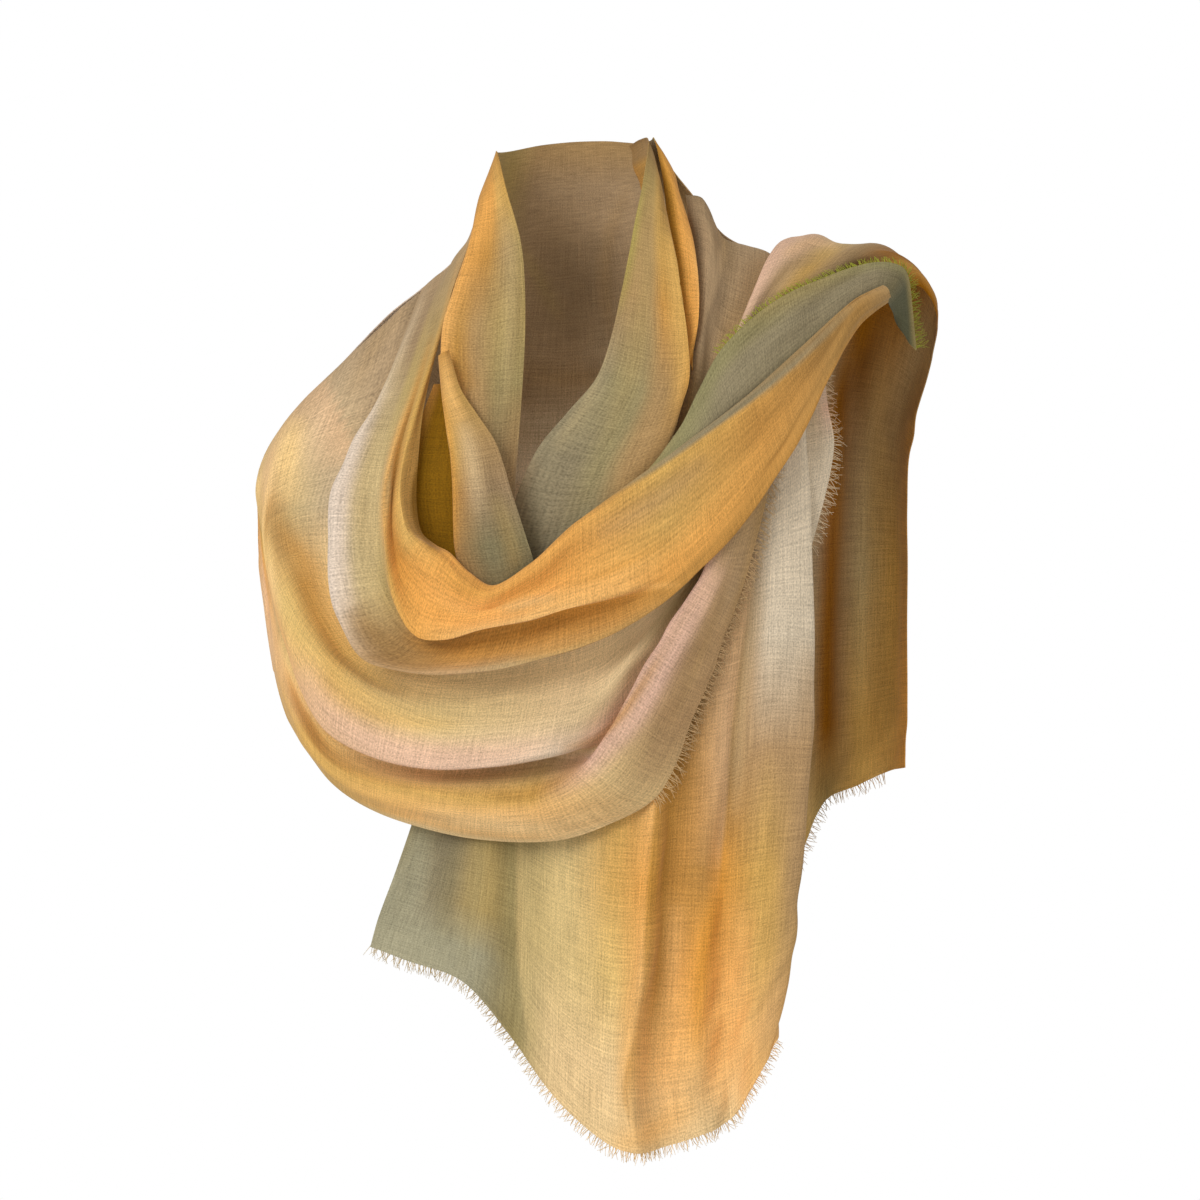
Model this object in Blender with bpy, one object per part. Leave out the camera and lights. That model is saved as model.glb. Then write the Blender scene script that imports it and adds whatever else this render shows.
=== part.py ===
"""A wool and silk scarf, wound once round the neck and shoulders and held open as it is worn.

The cloth starts at a hem on the front, goes up the chest over the wearer's left shoulder (+X),
crosses the back, comes over the right shoulder (-X), hangs in deep folds over the chest and
goes over the left shoulder again, where its other end hangs down behind.

The tables hold millimetres. Each stretch of cloth is one table: a row is a fold line and a
column is a place along it. A cell is x and z, as they show from the front at the depth of the
chest, from the middle of the neck's base. A lift is how far a fold line stands off the figure.
"""

import bpy
import numpy as np
from mathutils import Vector
from mathutils.bvhtree import BVHTree

MM = 0.001
WALL = 1.5  # the cloth's wall
SEAM = 0.35  # between two stretches of one cloth
REST = 0.4  # between a stretch and what it lies on
CLEAR = WALL + REST + 0.3  # between the middles of two walls that lie on each other
REACH = 40  # how far inside another stretch a fold can be found
STEEPEST = 0.4  # the flattest angle, as a cosine, at which a wall is still cleared square
NEAR_ENOUGH = 0.05  # a push too small to matter
ROUNDS = 4  # of pushing one stretch clear of others
SEAM_PLANE = 1.0  # how near y = 0 a line of the seam at the limb lies
LIMB_BLEND = 30  # from the seam at the limb to where the cloth faces forward
ACROSS = 3  # sections from one fold line to the next
ALONG = 2  # sections from one place on a fold line to the next

# From where the tables' x and z are seen.
EYE_DISTANCE = 3000
EYE_ACROSS, EYE_UP = 18, -202
CHEST_DEPTH = 100

# The wearer's half widths, arms and all, and depths from the neck's axis, at some heights.
FIGURE_COLUMNS = ("height", "right_side", "left_side", "front", "back")
FIGURE = (
    (-600, 190, 240, 116, 105),
    (-400, 190, 240, 106, 104),
    (-300, 190, 240, 110, 106),
    (-200, 190, 240, 114, 110),
    (-150, 190, 240, 110, 112),
    (-110, 184, 240, 103, 110),
    (-80, 168, 238, 94, 106),
    (-50, 142, 231, 82, 100),
    (-20, 112, 216, 68, 92),
    (0, 94, 203, 58, 84),
    (15, 74, 140, 52, 76),
    (30, 62, 80, 49, 68),
    (60, 53, 55, 47, 60),
    (120, 50, 50, 45, 56),
)
STRIP = 3.0  # the width of the strip that carries a fringe
STRIP_WALL = 1.0  # its wall
STRIP_GAP = 0.6  # from the cloth's edge to the strip
ROOT = 1.2  # the width of a strand at its root
FRINGE_SLOPE = 0.15  # how much of an edge's slope its fringe keeps where it lies on other cloth
FRINGE_CLEAR = 2.4  # from a fringe to the middle of the wall that it lies on
LENGTH_SWING, LEAN_SWING = 0.14, 0.22  # how uneven the strands are, as shares of their length
LENGTH_TURN, LEAN_TURN = 2.4, 1.7  # from one strand to the next, in radians

# The strands of each fringe and how far they stand out of its strip.
FRINGES = {
    "hem": (60, 6),
    "swag": (38, 6),
    "return": (16, 5),
    "band": (20, 3),
    "tail": (28, 6),
    "back": (40, 6),
}

ROUNDNESS = 2.2  # of a section of the figure: 2 is an ellipse

FRONT, LIMB, BACK = "front", "limb", "back"

# ---------------------------------------------------------------- folds of the front panel
PANEL_PLACES = (
    ("under_the_swag", FRONT, 0.4),
    ("chest", FRONT, 0.5),
    ("bust", FRONT, 0.7),
    ("waist", FRONT, 0.9),
    ("belly", FRONT, 1.1),
    ("skirt", FRONT, 1.2),
    ("hem", FRONT, 1.3),
)
PANEL_FOLDS = (
    ("left_edge", 5, (
        (-62, -208), (-72, -250), (-88, -300), (-106, -350), (-118, -385), (-128, -412),
        (-133, -430),
    )),
    ("valley_1", 4, (
        (-50, -206), (-58, -255), (-66, -305), (-80, -355), (-90, -395), (-100, -420),
        (-106, -440),
    )),
    ("ridge_1", 15, (
        (-38, -204), (-42, -258), (-48, -310), (-56, -360), (-62, -405), (-67, -432),
        (-72, -453),
    )),
    ("valley_2", 4, (
        (-22, -198), (-26, -258), (-30, -315), (-34, -365), (-36, -415), (-37, -452),
        (-40, -490),
    )),
    ("bay", 9, ((0, -186), (-2, -255), (-5, -320), (-8, -380), (-8, -435), (-8, -490), (-10, -531))),
    ("ridge_2", 13, (
        (30, -165), (30, -250), (30, -325), (28, -390), (26, -450), (24, -510), (24, -560),
    )),
    ("crest", 20, ((52, -152), (52, -245), (53, -325), (48, -390), (44, -450), (38, -510), (42, -566))),
    ("valley_3", 5, (
        (66, -142), (66, -240), (64, -320), (60, -385), (56, -450), (52, -510), (58, -562),
    )),
    ("flat", 10, ((92, -125), (90, -235), (88, -315), (86, -385), (84, -450), (82, -505), (84, -554))),
    ("crease", 4, (
        (115, -108), (108, -230), (102, -310), (99, -385), (99, -445), (100, -495), (104, -543),
    )),
    ("ridge_3", 18, (
        (136, -85), (132, -225), (128, -300), (124, -380), (120, -440), (118, -485), (120, -519),
    )),
    ("right_edge", 18, (
        (152, -62), (159, -228), (157, -300), (150, -375), (146, -425), (140, -460), (134, -490),
    )),
    ("turned_in", -3, (
        (147, -64), (151, -226), (149, -298), (143, -372), (139, -420), (133, -453), (127, -483),
    )),
)

HEM_TO = 11  # the fold line where the hem turns under

# ------------------------------------------------------- the panel's own edge, turned under
RETURN_PLACES = (
    ("armpit", FRONT, 1.0),
    ("chest", FRONT, 1.0),
    ("fray", FRONT, 1.0),
    ("low_fray", FRONT, 1.0),
    ("end", FRONT, 1.0),
)
RETURN_FOLDS = (
    ("inside", -3, ((144, -50), (143, -80), (143, -105), (142, -140), (142, -172))),
    ("middle", -5, ((156, -50), (157, -78), (158, -102), (155, -136), (150, -170))),
    ("edge", -6, ((165, -52), (168, -76), (172, -98), (166, -132), (157, -167))),
)

# -------------------------------------------------------------- folds right of the throat
NECK_PLACES = (
    ("nape", BACK, 1.0),
    ("side", LIMB, 0),
    ("collar", FRONT, 0.5),
    ("throat", FRONT, 0.8),
    ("neck_base", FRONT, 1.0),
    ("breastbone", FRONT, 1.0),
    ("chest", FRONT, 0.8),
    ("under_the_swag", FRONT, 0.5),
)
NECK_FOLDS = (
    ("neckline", 3, (
        (38, 111, 1), (49, 101), (47, 76), (41, 48), (32, 0), (16, -55), (-24, -104),
        (-60, -204),
    )),
    ("olive_inner", 6, (
        (40, 106, 1), (50, 97), (50, 74), (46, 46), (41, -2), (30, -60), (-2, -112), (-32, -199),
    )),
    ("olive", 10, (
        (41, 100, 1), (52, 92), (53, 71), (52, 43), (51, -5), (44, -64), (18, -115), (-2, -185),
    )),
    ("gold", 18, (
        (43, 93, 1), (54, 86), (57, 67), (58, 40), (61, -8), (59, -66), (38, -114), (28, -165),
    )),
    ("roll", 20, (
        (45, 86, 1), (56, 78), (61, 60), (66, 36), (74, -10), (76, -60), (62, -104), (60, -146),
    )),
    ("roll_turned", 8, (
        (46, 80, 1), (56, 71), (59, 52), (62, 32), (68, -12), (70, -60), (57, -100), (56, -142),
    )),
)
GOLD_PLACES = (
    ("side", LIMB, 0),
    ("collar", LIMB, -22),
    ("throat", LIMB, -42),
    ("neck_base", FRONT, 1.0),
    ("breastbone", FRONT, 1.0),
    ("chest", FRONT, 0.6),
)
GOLD_FOLDS = (
    ("inside", 2, ((54, 100), (60, 76, -8), (64, 42, -27), (66, 8), (67, -24), (64, -50))),
    ("crest", 10, ((60, 91), (67, 68, -17), (73, 40, -38), (76, 8), (76, -24), (70, -48))),
    ("edge", 14, ((67, 78), (75, 54, -19), (80, 32, -40), (83, 6), (82, -22), (76, -45))),
    ("turned", 5, ((69, 70), (74, 46, -12), (77, 25, -30), (79, -1), (79, -28), (79, -51))),
)
SHOULDER_PLACES = (
    ("top", LIMB, 0),
    ("slope", LIMB, -34),
    ("collarbone", FRONT, 0.9),
    ("chest", FRONT, 0.7),
    ("under_the_band", FRONT, 0.5),
)
SHOULDER_FOLDS = (
    ("inside", -9, ((74, 64), (78, 36, -18), (77, 0), (73, -46), (66, -96))),
    ("taupe", 9, ((85, 62), (90, 33, -30), (88, 0), (82, -48), (74, -92))),
    ("crease", 4, ((99, 36), (99, 14, -42), (95, -18), (88, -52), (82, -86))),
    ("hollow", 6, ((113, 31), (112, 8, -44), (106, -24), (98, -50), (93, -72))),
    ("slope", 3, ((127, 27), (126, 3, -42), (120, -22), (113, -42), (108, -54))),
    ("outer", -2, ((144, 15), (142, -2, -38), (136, -20), (129, -34), (126, -42))),
)

# --------------------------------------------------------------- folds left of the throat
THROAT_PLACES = (
    ("side", LIMB, 0),
    ("collar", FRONT, 0.6),
    ("throat", FRONT, 0.9),
    ("neck_base", FRONT, 1.0),
    ("breastbone", FRONT, 1.0),
    ("chest", FRONT, 0.9),
    ("under_the_swag", FRONT, 0.9),
)
THROAT_FOLDS = (
    ("neckline", 6, (
        (-50, 93), (-43, 66), (-34, 32), (-31, -15), (-33, -60), (-37, -115), (-42, -186),
    )),
    ("inner", 12, ((-52, 87), (-48, 62), (-44, 28), (-45, -18), (-47, -62), (-49, -118), (-50, -188))),
    ("orange", 18, ((-55, 79), (-54, 58), (-56, 24), (-62, -20), (-63, -62), (-62, -118), (-58, -190))),
    ("roll", 20, (
        (-59, 68), (-63, 52), (-70, 20), (-84, -18, 19), (-85, -58, 13), (-73, -118, 12),
        (-67, -192, 12),
    )),
    ("roll_turned", 10, (
        (-63, 50), (-61, 43), (-66, 16), (-78, -20, 9), (-79, -60, 5), (-71, -122, 4),
        (-65, -196, 4),
    )),
)
TONGUE_PLACES = (
    ("tip", FRONT, 0.9),
    ("upper", FRONT, 1.0),
    ("middle", FRONT, 1.0),
    ("lower", FRONT, 1.0),
    ("foot", FRONT, 1.0),
    ("v", FRONT, 0.9),
    ("under_the_swag", FRONT, 0.5),
)
TONGUE_FOLDS = (
    ("right_edge", 26, (
        (-82, -38), (-74, -64), (-51, -98), (-41, -128), (-30, -162), (-24, -182), (-22, -198),
    )),
    ("middle", 31, (
        (-85, -40), (-80, -68), (-65, -101), (-60, -132), (-54, -166), (-48, -192), (-45, -210),
    )),
    ("left_edge", 28, (
        (-88, -42), (-86, -71), (-80, -104), (-79, -134), (-77, -168), (-71, -190), (-66, -208),
    )),
    ("turned", 19, (
        (-87, -46), (-82, -76), (-75, -110), (-74, -140), (-72, -172), (-67, -195), (-62, -213),
    )),
)
POCKET_PLACES = (
    ("collarbone", FRONT, 0.6),
    ("side", FRONT, 1.0),
    ("turn", FRONT, 1.0),
    ("corner", FRONT, 1.0),
)
POCKET_FOLDS = (
    ("left", 14, ((-91, -60), (-110, -120), (-104, -162), (-86, -186))),
    ("middle", 5, ((-84, -60), (-97, -121), (-91, -168), (-78, -194))),
    ("right", 3, ((-75, -60), (-72, -122), (-70, -172), (-66, -200))),
)

# -------------------------------------------- the rim: the swag's upper folds
RIM_PLACES = (
    ("shoulder", LIMB, 0),
    ("collarbone", FRONT, 0.5),
    ("side", FRONT, 0.8),
    ("turn", FRONT, 1.0),
    ("corner", FRONT, 1.1),
    ("v", FRONT, 1.2),
    ("middle", FRONT, 1.1),
    ("climb", FRONT, 0.95),
    ("reach", FRONT, 0.75),
    ("collar", FRONT, 0.7),
    ("near_the_crown", LIMB, -58),
    ("crown", LIMB, -44),
)
RIM_FOLDS = (
    ("inside", 14, (
        (-64, 47), (-93, -52, 8), (-103, -118), (-99, -158), (-80, -171), (-52, -192), (1, -152),
        (58, -112), (117, -66), (163, -24), (186, -4, -48),
        (204, 5, -40),
    )),
    ("rim", 38, (
        (-69, 34), (-96, -56, 14), (-113, -122), (-107, -160), (-85, -176), (-55, -198),
        (0, -158), (60, -118), (120, -72), (165, -28), (187, -6, -56), (206, 3.5),
    )),
    ("band", 31, (
        (-73, 28), (-100, -59, 14), (-118, -126), (-115, -176), (-95, -203), (-58, -209),
        (0, -184), (61, -152), (124, -96), (167, -38), (188, -9), (207.5, 1.5, -46),
    )),
    ("ridge", 42, (
        (-78, 21), (-105, -61, 17), (-123, -130), (-121, -186), (-103, -227), (-62, -222),
        (0, -207), (62, -182, 32), (128, -111, 27), (168, -45, 24), (189, -12),
        (208.5, -0.5, -46),
    )),
    ("ridge_turned", 29, (
        (-82, 16), (-109.5, -62.5, 15), (-128, -132), (-123, -190), (-99, -222), (-61, -218),
        (0, -206), (63, -187, 31), (129, -115, 26), (168.5, -48, 24),
        (189.5, -14, -57), (209, -2.5, -43),
    )),
    ("olive_band", 30, (
        (-88, 12), (-115, -64, 15), (-142, -131), (-140, -193), (-116, -236), (-70, -238),
        (0, -221), (64.5, -193, 31), (130, -120, 26), (169, -51, 24), (189.7, -17, -55),
        (208.5, -4.5, -40),
    )),
    ("beige_edge", 37, (
        (-94, 7), (-125, -66, 17), (-157, -130), (-158, -196), (-138, -240), (-80, -250),
        (0, -234), (66, -199, 31), (131, -126, 26), (169.5, -54, 23), (189.5, -21, -52),
        (207.5, -6.5, -37),
    )),
    ("beige_turned", 20, (
        (-98, 3), (-127, -71, 10), (-152, -133), (-152, -199), (-133, -234), (-78, -243),
        (0, -228), (63, -194, 21), (127, -120, 16), (166, -49, 14), (186.5, -18, -50),
        (205, -7, -32),
    )),
)

# -------------------------------------------- the swag: the deep folds hung over the chest
SWAG_PLACES = (
    ("arm", LIMB, 0),
    ("upper", FRONT, 0.6),
    ("side", FRONT, 0.8),
    ("turn", FRONT, 1.0),
    ("corner", FRONT, 1.1),
    ("low", FRONT, 1.2),
    ("middle", FRONT, 1.1),
    ("hook", FRONT, 1.0),
    ("climb", FRONT, 1.0),
    ("high", FRONT, 1.0),
    ("top", FRONT, 1.0),
    ("under_the_rim", FRONT, 1.0),
)
SWAG_FOLDS = (
    ("inside", 13, (
        (-101, 0), (-120, -72), (-147, -135), (-147, -198), (-128, -230), (-76, -238), (0, -223),
        (30, -209), (56, -193), (80, -180, 12), (86, -170, 11), (92, -158, 10),
    )),
    ("valley", 14, (
        (-150, -45), (-172, -91), (-189, -146), (-177, -192), (-150, -237), (-85, -262),
        (-2, -250), (26, -236), (50, -215), (74, -194, 13), (87, -174, 11), (95, -156, 10),
    )),
    ("ridge", 31, (
        (-188, -84), (-196, -106), (-202, -156), (-189, -204), (-158, -248), (-88, -284),
        (-8, -277), (19, -266, 27), (42, -239, 18), (68, -206, 13), (87, -180, 10),
        (98, -155, 9),
    )),
    ("pink_edge", 36, (
        (-206, -118), (-207, -132), (-201, -180), (-190, -228), (-162, -288), (-95, -313),
        (-14, -305), (12, -295, 26), (49, -268, 11), (75, -219, 9), (91, -188, 6),
        (102, -153, 4),
    )),
    ("pink_turned", 26, (
        (-206.5, -128), (-206, -142, 19.5), (-199, -189, 27), (-187, -236, 31), (-158, -283),
        (-93, -305, 24), (-12, -297, 24), (13, -300, 22), (52, -271, 16), (78, -222, 14),
        (94, -190, 12), (105, -152, 10),
    )),
    ("hollow", 20, (
        (-206.5, -138), (-205, -153, 18.5), (-199, -198, 25), (-188, -243, 29), (-161, -293, 19),
        (-95, -314, 18), (-15, -306, 18), (12, -306, 24), (47, -269, 23), (74, -219, 20),
        (91, -187, 18), (102, -150, 16),
    )),
    ("strip_edge", 34, (
        (-206, -160), (-203, -180), (-199, -217), (-190, -258), (-160, -308), (-98, -328),
        (-26, -330), (9, -309, 31), (38, -263, 30), (66, -214, 26), (86, -182, 24),
        (97, -146, 22),
    )),
    ("strip", 35, (
        (-205, -184), (-202, -202), (-198, -232), (-189, -269), (-159, -316), (-99, -338),
        (-25, -342), (24, -319), (52, -273), (79, -222, 31), (96, -189, 26), (108, -142, 20),
    )),
    ("taupe", 26, (
        (-202, -207), (-200, -220), (-196, -245), (-187, -277), (-157, -322), (-101, -345),
        (-22, -353), (38, -328), (64, -281, 24), (89, -228, 21), (104, -194, 18),
        (121, -128, 15),
    )),
    ("frayed_edge", 17, (
        (-198, -228), (-197, -238), (-194, -257), (-184, -285), (-153, -327), (-102, -351),
        (-18, -360), (53, -333), (77, -285, 13), (97, -234, 12), (110, -197, 11),
        (133, -113, 10),
    )),
)
OUTER_FROM = 5  # the fold line of the swag where its outer folds begin
FRAYED_FROM = 7  # the place of the swag where its frayed edge comes out of the bottom fold

# --------------------------------------------------- the upper edge, over the left shoulder
BAND_PLACES = (
    ("v", FRONT, 0.8),
    ("start", FRONT, 0.9),
    ("chest", FRONT, 1.0),
    ("climb", FRONT, 0.9),
    ("reach", FRONT, 0.8),
    ("collar", FRONT, 0.7),
    ("near_the_crown", LIMB, -36),
    ("crown", LIMB, -27),
    ("over", LIMB, -14),
    ("behind", LIMB, 8),
)
BAND_FOLDS = (
    ("inside", 20, (
        (8, -162), (52, -133), (80, -118), (105, -94), (136, -66), (168, -36), (195, -9, -41),
        (206, -5, -35), (209, -9, -24), (212, -18, 3),
    )),
    ("lower", 23, (
        (12, -156), (50, -128), (78, -108), (102, -79), (133, -49), (166, -23), (196, 1, -43),
        (210, 3, -32), (213, -4, -19), (216, -24),
    )),
    ("upper", 24, (
        (17, -150), (49, -123), (75, -97), (99, -60), (131, -28), (163, -7), (197, 11, -39),
        (213.5, 10), (218, 1, -13), (221, -33, 15),
    )),
    ("edge", 21, (
        (22, -144), (48, -118), (72, -86), (95, -41), (128, -9), (160, 7), (198, 20, -31),
        (216.5, 17, -19), (221, 8, -11), (226, -38, 21),
    )),
)

SELVEDGE_FROM = 3  # the place of the band where its selvedge comes out of the folds
BAND_TURN = 7  # the place where it turns down over the shoulder, inside the other end

# --------------------------------------------- the other end, over the shoulder and behind
TAIL_PLACES = (
    ("under_the_band", FRONT, 0.4),
    ("front", LIMB, -40),
    ("top", LIMB, 14),
    ("behind", LIMB, 52),
    ("blade", BACK, 1.0),
    ("back", BACK, 1.0),
    ("waist", BACK, 1.0),
    ("hem", BACK, 1.0),
)
TAIL_FOLDS = (
    ("turned", 2, (
        (106, -47, 5), (124, -4, -58), (141, 27), (146, 0), (120, -90, 22), (114, -190, 26),
        (112, -300, 26), (112, -418, 22),
    )),
    ("pink_edge", 8, (
        (104, -39, 13), (121, 3, -65), (138, 33), (142, 6), (128, -90, 30), (124, -190, 34),
        (124, -300, 34), (124, -424, 30),
    )),
    ("pink", 16, (
        (113, -31, 16), (138, 13, -58), (158, 37), (158, 10), (146, -86, 38), (142, -188, 40),
        (142, -300, 38), (140, -412, 34),
    )),
    ("tan_valley", 9, (
        (124, -23, 12), (158, 17, -46), (176, 31), (174, 4), (164, -84, 24), (160, -188, 22),
        (158, -295, 20), (157, -386, 18),
    )),
    ("taupe", 16, (
        (142, -15, 16), (180, 23, -32), (199, 31), (196, 6), (184, -82, 32), (180, -185, 32),
        (178, -290, 30), (176, -344, 28),
    )),
    ("brown", 12, (
        (158, -9, 12), (203, 25, -14), (220, 21), (216, -2), (206, -84, 16), (202, -182, 16),
        (200, -285, 16), (197, -332, 16),
    )),
    ("outer", 14, (
        (174, -6, 14), (222, 16, -1), (236, 3), (234, -20), (224, -90, 26), (222, -180, 26),
        (220, -280, 26), (218, -322, 24),
    )),
    ("outer_turned", 8, (
        (183, -8, 8), (229, 4, 5), (239, -14), (237, -40), (232, -100, 10), (231, -180, 10),
        (230, -276, 10), (229, -318, 10),
    )),
)

# ----------------------------------------------------------------------------- the back
BACK_PLACES = (
    ("left_side", LIMB, 0.7),
    ("left_blade", BACK, 1.0),
    ("left_mid", BACK, 1.0),
    ("spine", BACK, 1.0),
    ("right_mid", BACK, 1.0),
    ("right_blade", BACK, 1.0),
    ("right_side", LIMB, 0.7),
)
BACK_FOLDS = (
    ("neck_edge", 7, ((53, 102), (44, 113), (24, 116), (0, 116), (-24, 113), (-42, 108), (-50, 93))),
    ("collar", 12, ((66, 80), (53, 82), (29, 79), (0, 78), (-29, 75), (-49, 70), (-60, 60))),
    ("yoke", 5, ((78, 65), (66, 36), (38, 24), (0, 20), (-36, 16), (-62, 14), (-72, 28))),
    ("fold_1", 16, ((98, 39), (84, -2), (46, -30), (0, -42), (-50, -40), (-88, -30), (-96, 5))),
    ("valley_1", 4, ((109, 32), (94, -20), (52, -58), (0, -74), (-56, -74), (-100, -62), (-120, -14))),
    ("fold_2", 18, (
        (118, 29), (104, -44), (58, -96), (0, -118), (-64, -116), (-116, -98), (-152, -47),
    )),
    ("valley_2", 5, (
        (125, 27.5), (112, -64), (62, -128), (0, -152), (-70, -150), (-128, -128), (-184, -80),
    )),
    ("fold_3", 19, (
        (132, 24), (118, -92), (66, -172), (0, -200), (-76, -196), (-138, -172), (-205, -114),
    )),
    ("valley_3", 6, (
        (137, 21), (124, -114), (70, -204), (0, -236), (-80, -230), (-144, -204), (-206.5, -150),
    )),
    ("fold_4", 18, (
        (141, 18), (128, -136), (72, -238), (0, -274), (-82, -266), (-148, -238), (-205, -186),
    )),
    ("edge", 9, (
        (144, 15), (130, -150), (74, -258), (0, -296), (-84, -288), (-150, -258), (-199, -226),
    )),
)


def figure_at(height):
    """Half widths and depths of the figure at a height, by name."""
    table = np.array(FIGURE, float)
    return {name: np.interp(height, table[:, 0], table[:, k]) for k, name in enumerate(FIGURE_COLUMNS)}


def depth_on_figure(x, z, lift, facing):
    """The depth of a point that stands lift off the figure's front or back."""
    size = figure_at(z)
    side = size["left_side" if x > 0 else "right_side"] + lift
    depth = size["front" if facing == FRONT else "back"] + lift
    share = min(abs(x) / side, 1.0) ** ROUNDNESS
    y = depth * (1.0 - share) ** (1.0 / ROUNDNESS)
    return -y if facing == FRONT else y


def in_place(x, y, z):
    """The point at the depth y that shows at x and z."""
    scale = (EYE_DISTANCE + y) / (EYE_DISTANCE - CHEST_DEPTH)
    return (EYE_ACROSS + (x - EYE_ACROSS) * scale, y, EYE_UP + (z - EYE_UP) * scale)


def knots(folds, places):
    """A table's points, as an array of fold lines, places and coordinates. A place on the limb
    holds its depth, and any other holds how much of the lift the folds have there. A third
    value in a cell is that cell's own depth or lift."""
    made = []
    for _, lift, cells in folds:
        line = []
        for cell, (_, facing, share) in zip(cells, places, strict=True):
            x, z = cell[:2]
            if facing == LIMB:
                y = cell[2] if len(cell) == 3 else share
            else:
                y = depth_on_figure(x, z, cell[2] if len(cell) == 3 else lift * share, facing)
            line.append((x, y, z) if facing == BACK else in_place(x, y, z))
        made.append(line)
    return np.array(made, float)


def curve_point(p0, p1, p2, p3, share):
    """A point of the centripetal Catmull-Rom curve from p1 to p2."""
    t0 = np.zeros(p0.shape[:-1] + (1,))
    t = [t0]
    for a, b in ((p0, p1), (p1, p2), (p2, p3)):
        chord = np.linalg.norm(b - a, axis=-1, keepdims=True)
        t.append(t[-1] + np.sqrt(np.maximum(chord, 1e-6)))
    at = t[1] + share * (t[2] - t[1])

    def mix(a, b, low, high):
        return ((high - at) * a + (at - low) * b) / (high - low)

    a1 = mix(p0, p1, t[0], t[1])
    a2 = mix(p1, p2, t[1], t[2])
    a3 = mix(p2, p3, t[2], t[3])
    return mix(mix(a1, a2, t[0], t[2]), mix(a2, a3, t[1], t[3]), t[1], t[2])


def beyond(end, inner, square):
    """The point past a curve's end: straight on, or so that the curve meets the plane y = 0 square."""
    made = inner.copy() if square else 2 * end - inner
    made[..., 1] = 2 * end[..., 1] - inner[..., 1]
    return made


def curved(points, axis, steps, square=(False, False)):
    """Curves through the points along one axis, with steps sections to an interval."""
    p = np.moveaxis(points, axis, 0)
    p = np.concatenate([beyond(p[:1], p[1:2], square[0]), p, beyond(p[-1:], p[-2:-1], square[1])])
    made = [
        curve_point(p[i - 1], p[i], p[i + 1], p[i + 2], k / steps)
        for i in range(1, len(p) - 2)
        for k in range(steps)
    ]
    return np.moveaxis(np.array(made + [p[-2]]), 0, axis)


def on_seam(places):
    """Whether a table's first and last places lie on the seam at the limb."""
    return [facing == LIMB and abs(depth) < SEAM_PLANE for _, facing, depth in (places[0], places[-1])]


def draped(folds, places):
    """The smooth grid of points of a stretch of cloth."""
    return curved(curved(knots(folds, places), 1, ALONG, on_seam(places)), 0, ACROSS)


def facing_out(grid):
    """Unit normals of a grid, level with the seam's plane where a place of it lies in the plane."""
    n = np.cross(np.gradient(grid, axis=0), np.gradient(grid, axis=1))
    n[:, np.abs(grid[..., 1]).max(axis=0) < SEAM_PLANE, 1] = 0.0
    return n / np.maximum(np.linalg.norm(n, axis=2, keepdims=True), 1e-9)


def away_from_figure(p):
    """The direction away from the figure: forward on the front, square to its outline at the
    limb and backward behind."""
    x, y, z = p
    side = "left_side" if x > 0 else "right_side"
    slope = (figure_at(z + WALL)[side] - figure_at(z - WALL)[side]) / (2 * WALL)
    limb = Vector((1.0 if x > 0 else -1.0, 0.0, -slope)).normalized()
    level = min(max(y / LIMB_BLEND, -1.0), 1.0)
    return (limb * (1.0 - abs(level)) + Vector((0.0, level, 0.0))).normalized()


def halved(grid, axis):
    """The grid with points half way between its points along an axis."""
    g = np.moveaxis(grid, axis, 0)
    made = np.empty((2 * len(g) - 1,) + g.shape[1:])
    made[::2] = g
    made[1::2] = (g[1:] + g[:-1]) / 2
    return np.moveaxis(made, 0, axis)


def surface_tree(grid):
    """A grid's surface, for finding where a ray meets it."""
    rows, places = grid.shape[:2]
    quads = [
        (i * places + j, (i + 1) * places + j, (i + 1) * places + j + 1, i * places + j + 1)
        for i in range(rows - 1)
        for j in range(places - 1)
    ]
    return BVHTree.FromPolygons([Vector(p) for p in grid.reshape(-1, 3)], quads)


def needed_push(p, away, trees, clearance):
    """How far a point has to go to lie a clearance outside the surfaces."""
    push = 0.0
    for tree in trees:
        hit, normal, _, distance = tree.ray_cast(Vector(p) + away * REACH, -away, REACH + 3 * clearance)
        if hit is not None:
            push = max(push, REACH - distance + clearance / max(abs(normal.dot(away)), STEEPEST))
        near, _, _, distance = tree.find_nearest(Vector(p), clearance)
        if near is not None:
            push = max(push, clearance - distance)
    return push


def laid_over(grid, under, clearance=CLEAR, places=slice(None)):
    """The grid, pushed outward where it would cut into, or lie inside, the stretches under it."""
    trees = [surface_tree(other) for other in under]
    made = grid.copy()
    chosen = np.zeros(grid.shape[1], bool)
    chosen[places] = True
    for _ in range(ROUNDS):
        fine = halved(halved(made, 0), 1)
        push = np.zeros(fine.shape[:2])
        for i in range(fine.shape[0]):
            for j in range(fine.shape[1]):
                if chosen[j // 2]:
                    p = fine[i, j]
                    push[i, j] = needed_push(p, away_from_figure(p), trees, clearance)
        padded = np.pad(push, 1)
        windows = [padded[i : i + fine.shape[0], j : j + fine.shape[1]] for i in range(3) for j in range(3)]
        needed = np.max(windows, axis=0)[::2, ::2]
        if needed.max() < NEAR_ENOUGH:
            break
        for i, j in zip(*np.nonzero(needed > 0)):
            made[i, j] += np.array(away_from_figure(made[i, j])) * needed[i, j]
    return made


def parted(grid, gap=SEAM):
    """The grid with its first line drawn back by a seam's gap."""
    made = grid.copy()
    step = grid[1] - grid[0]
    made[0] += step * gap / np.linalg.norm(step, axis=1, keepdims=True)
    return made


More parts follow.
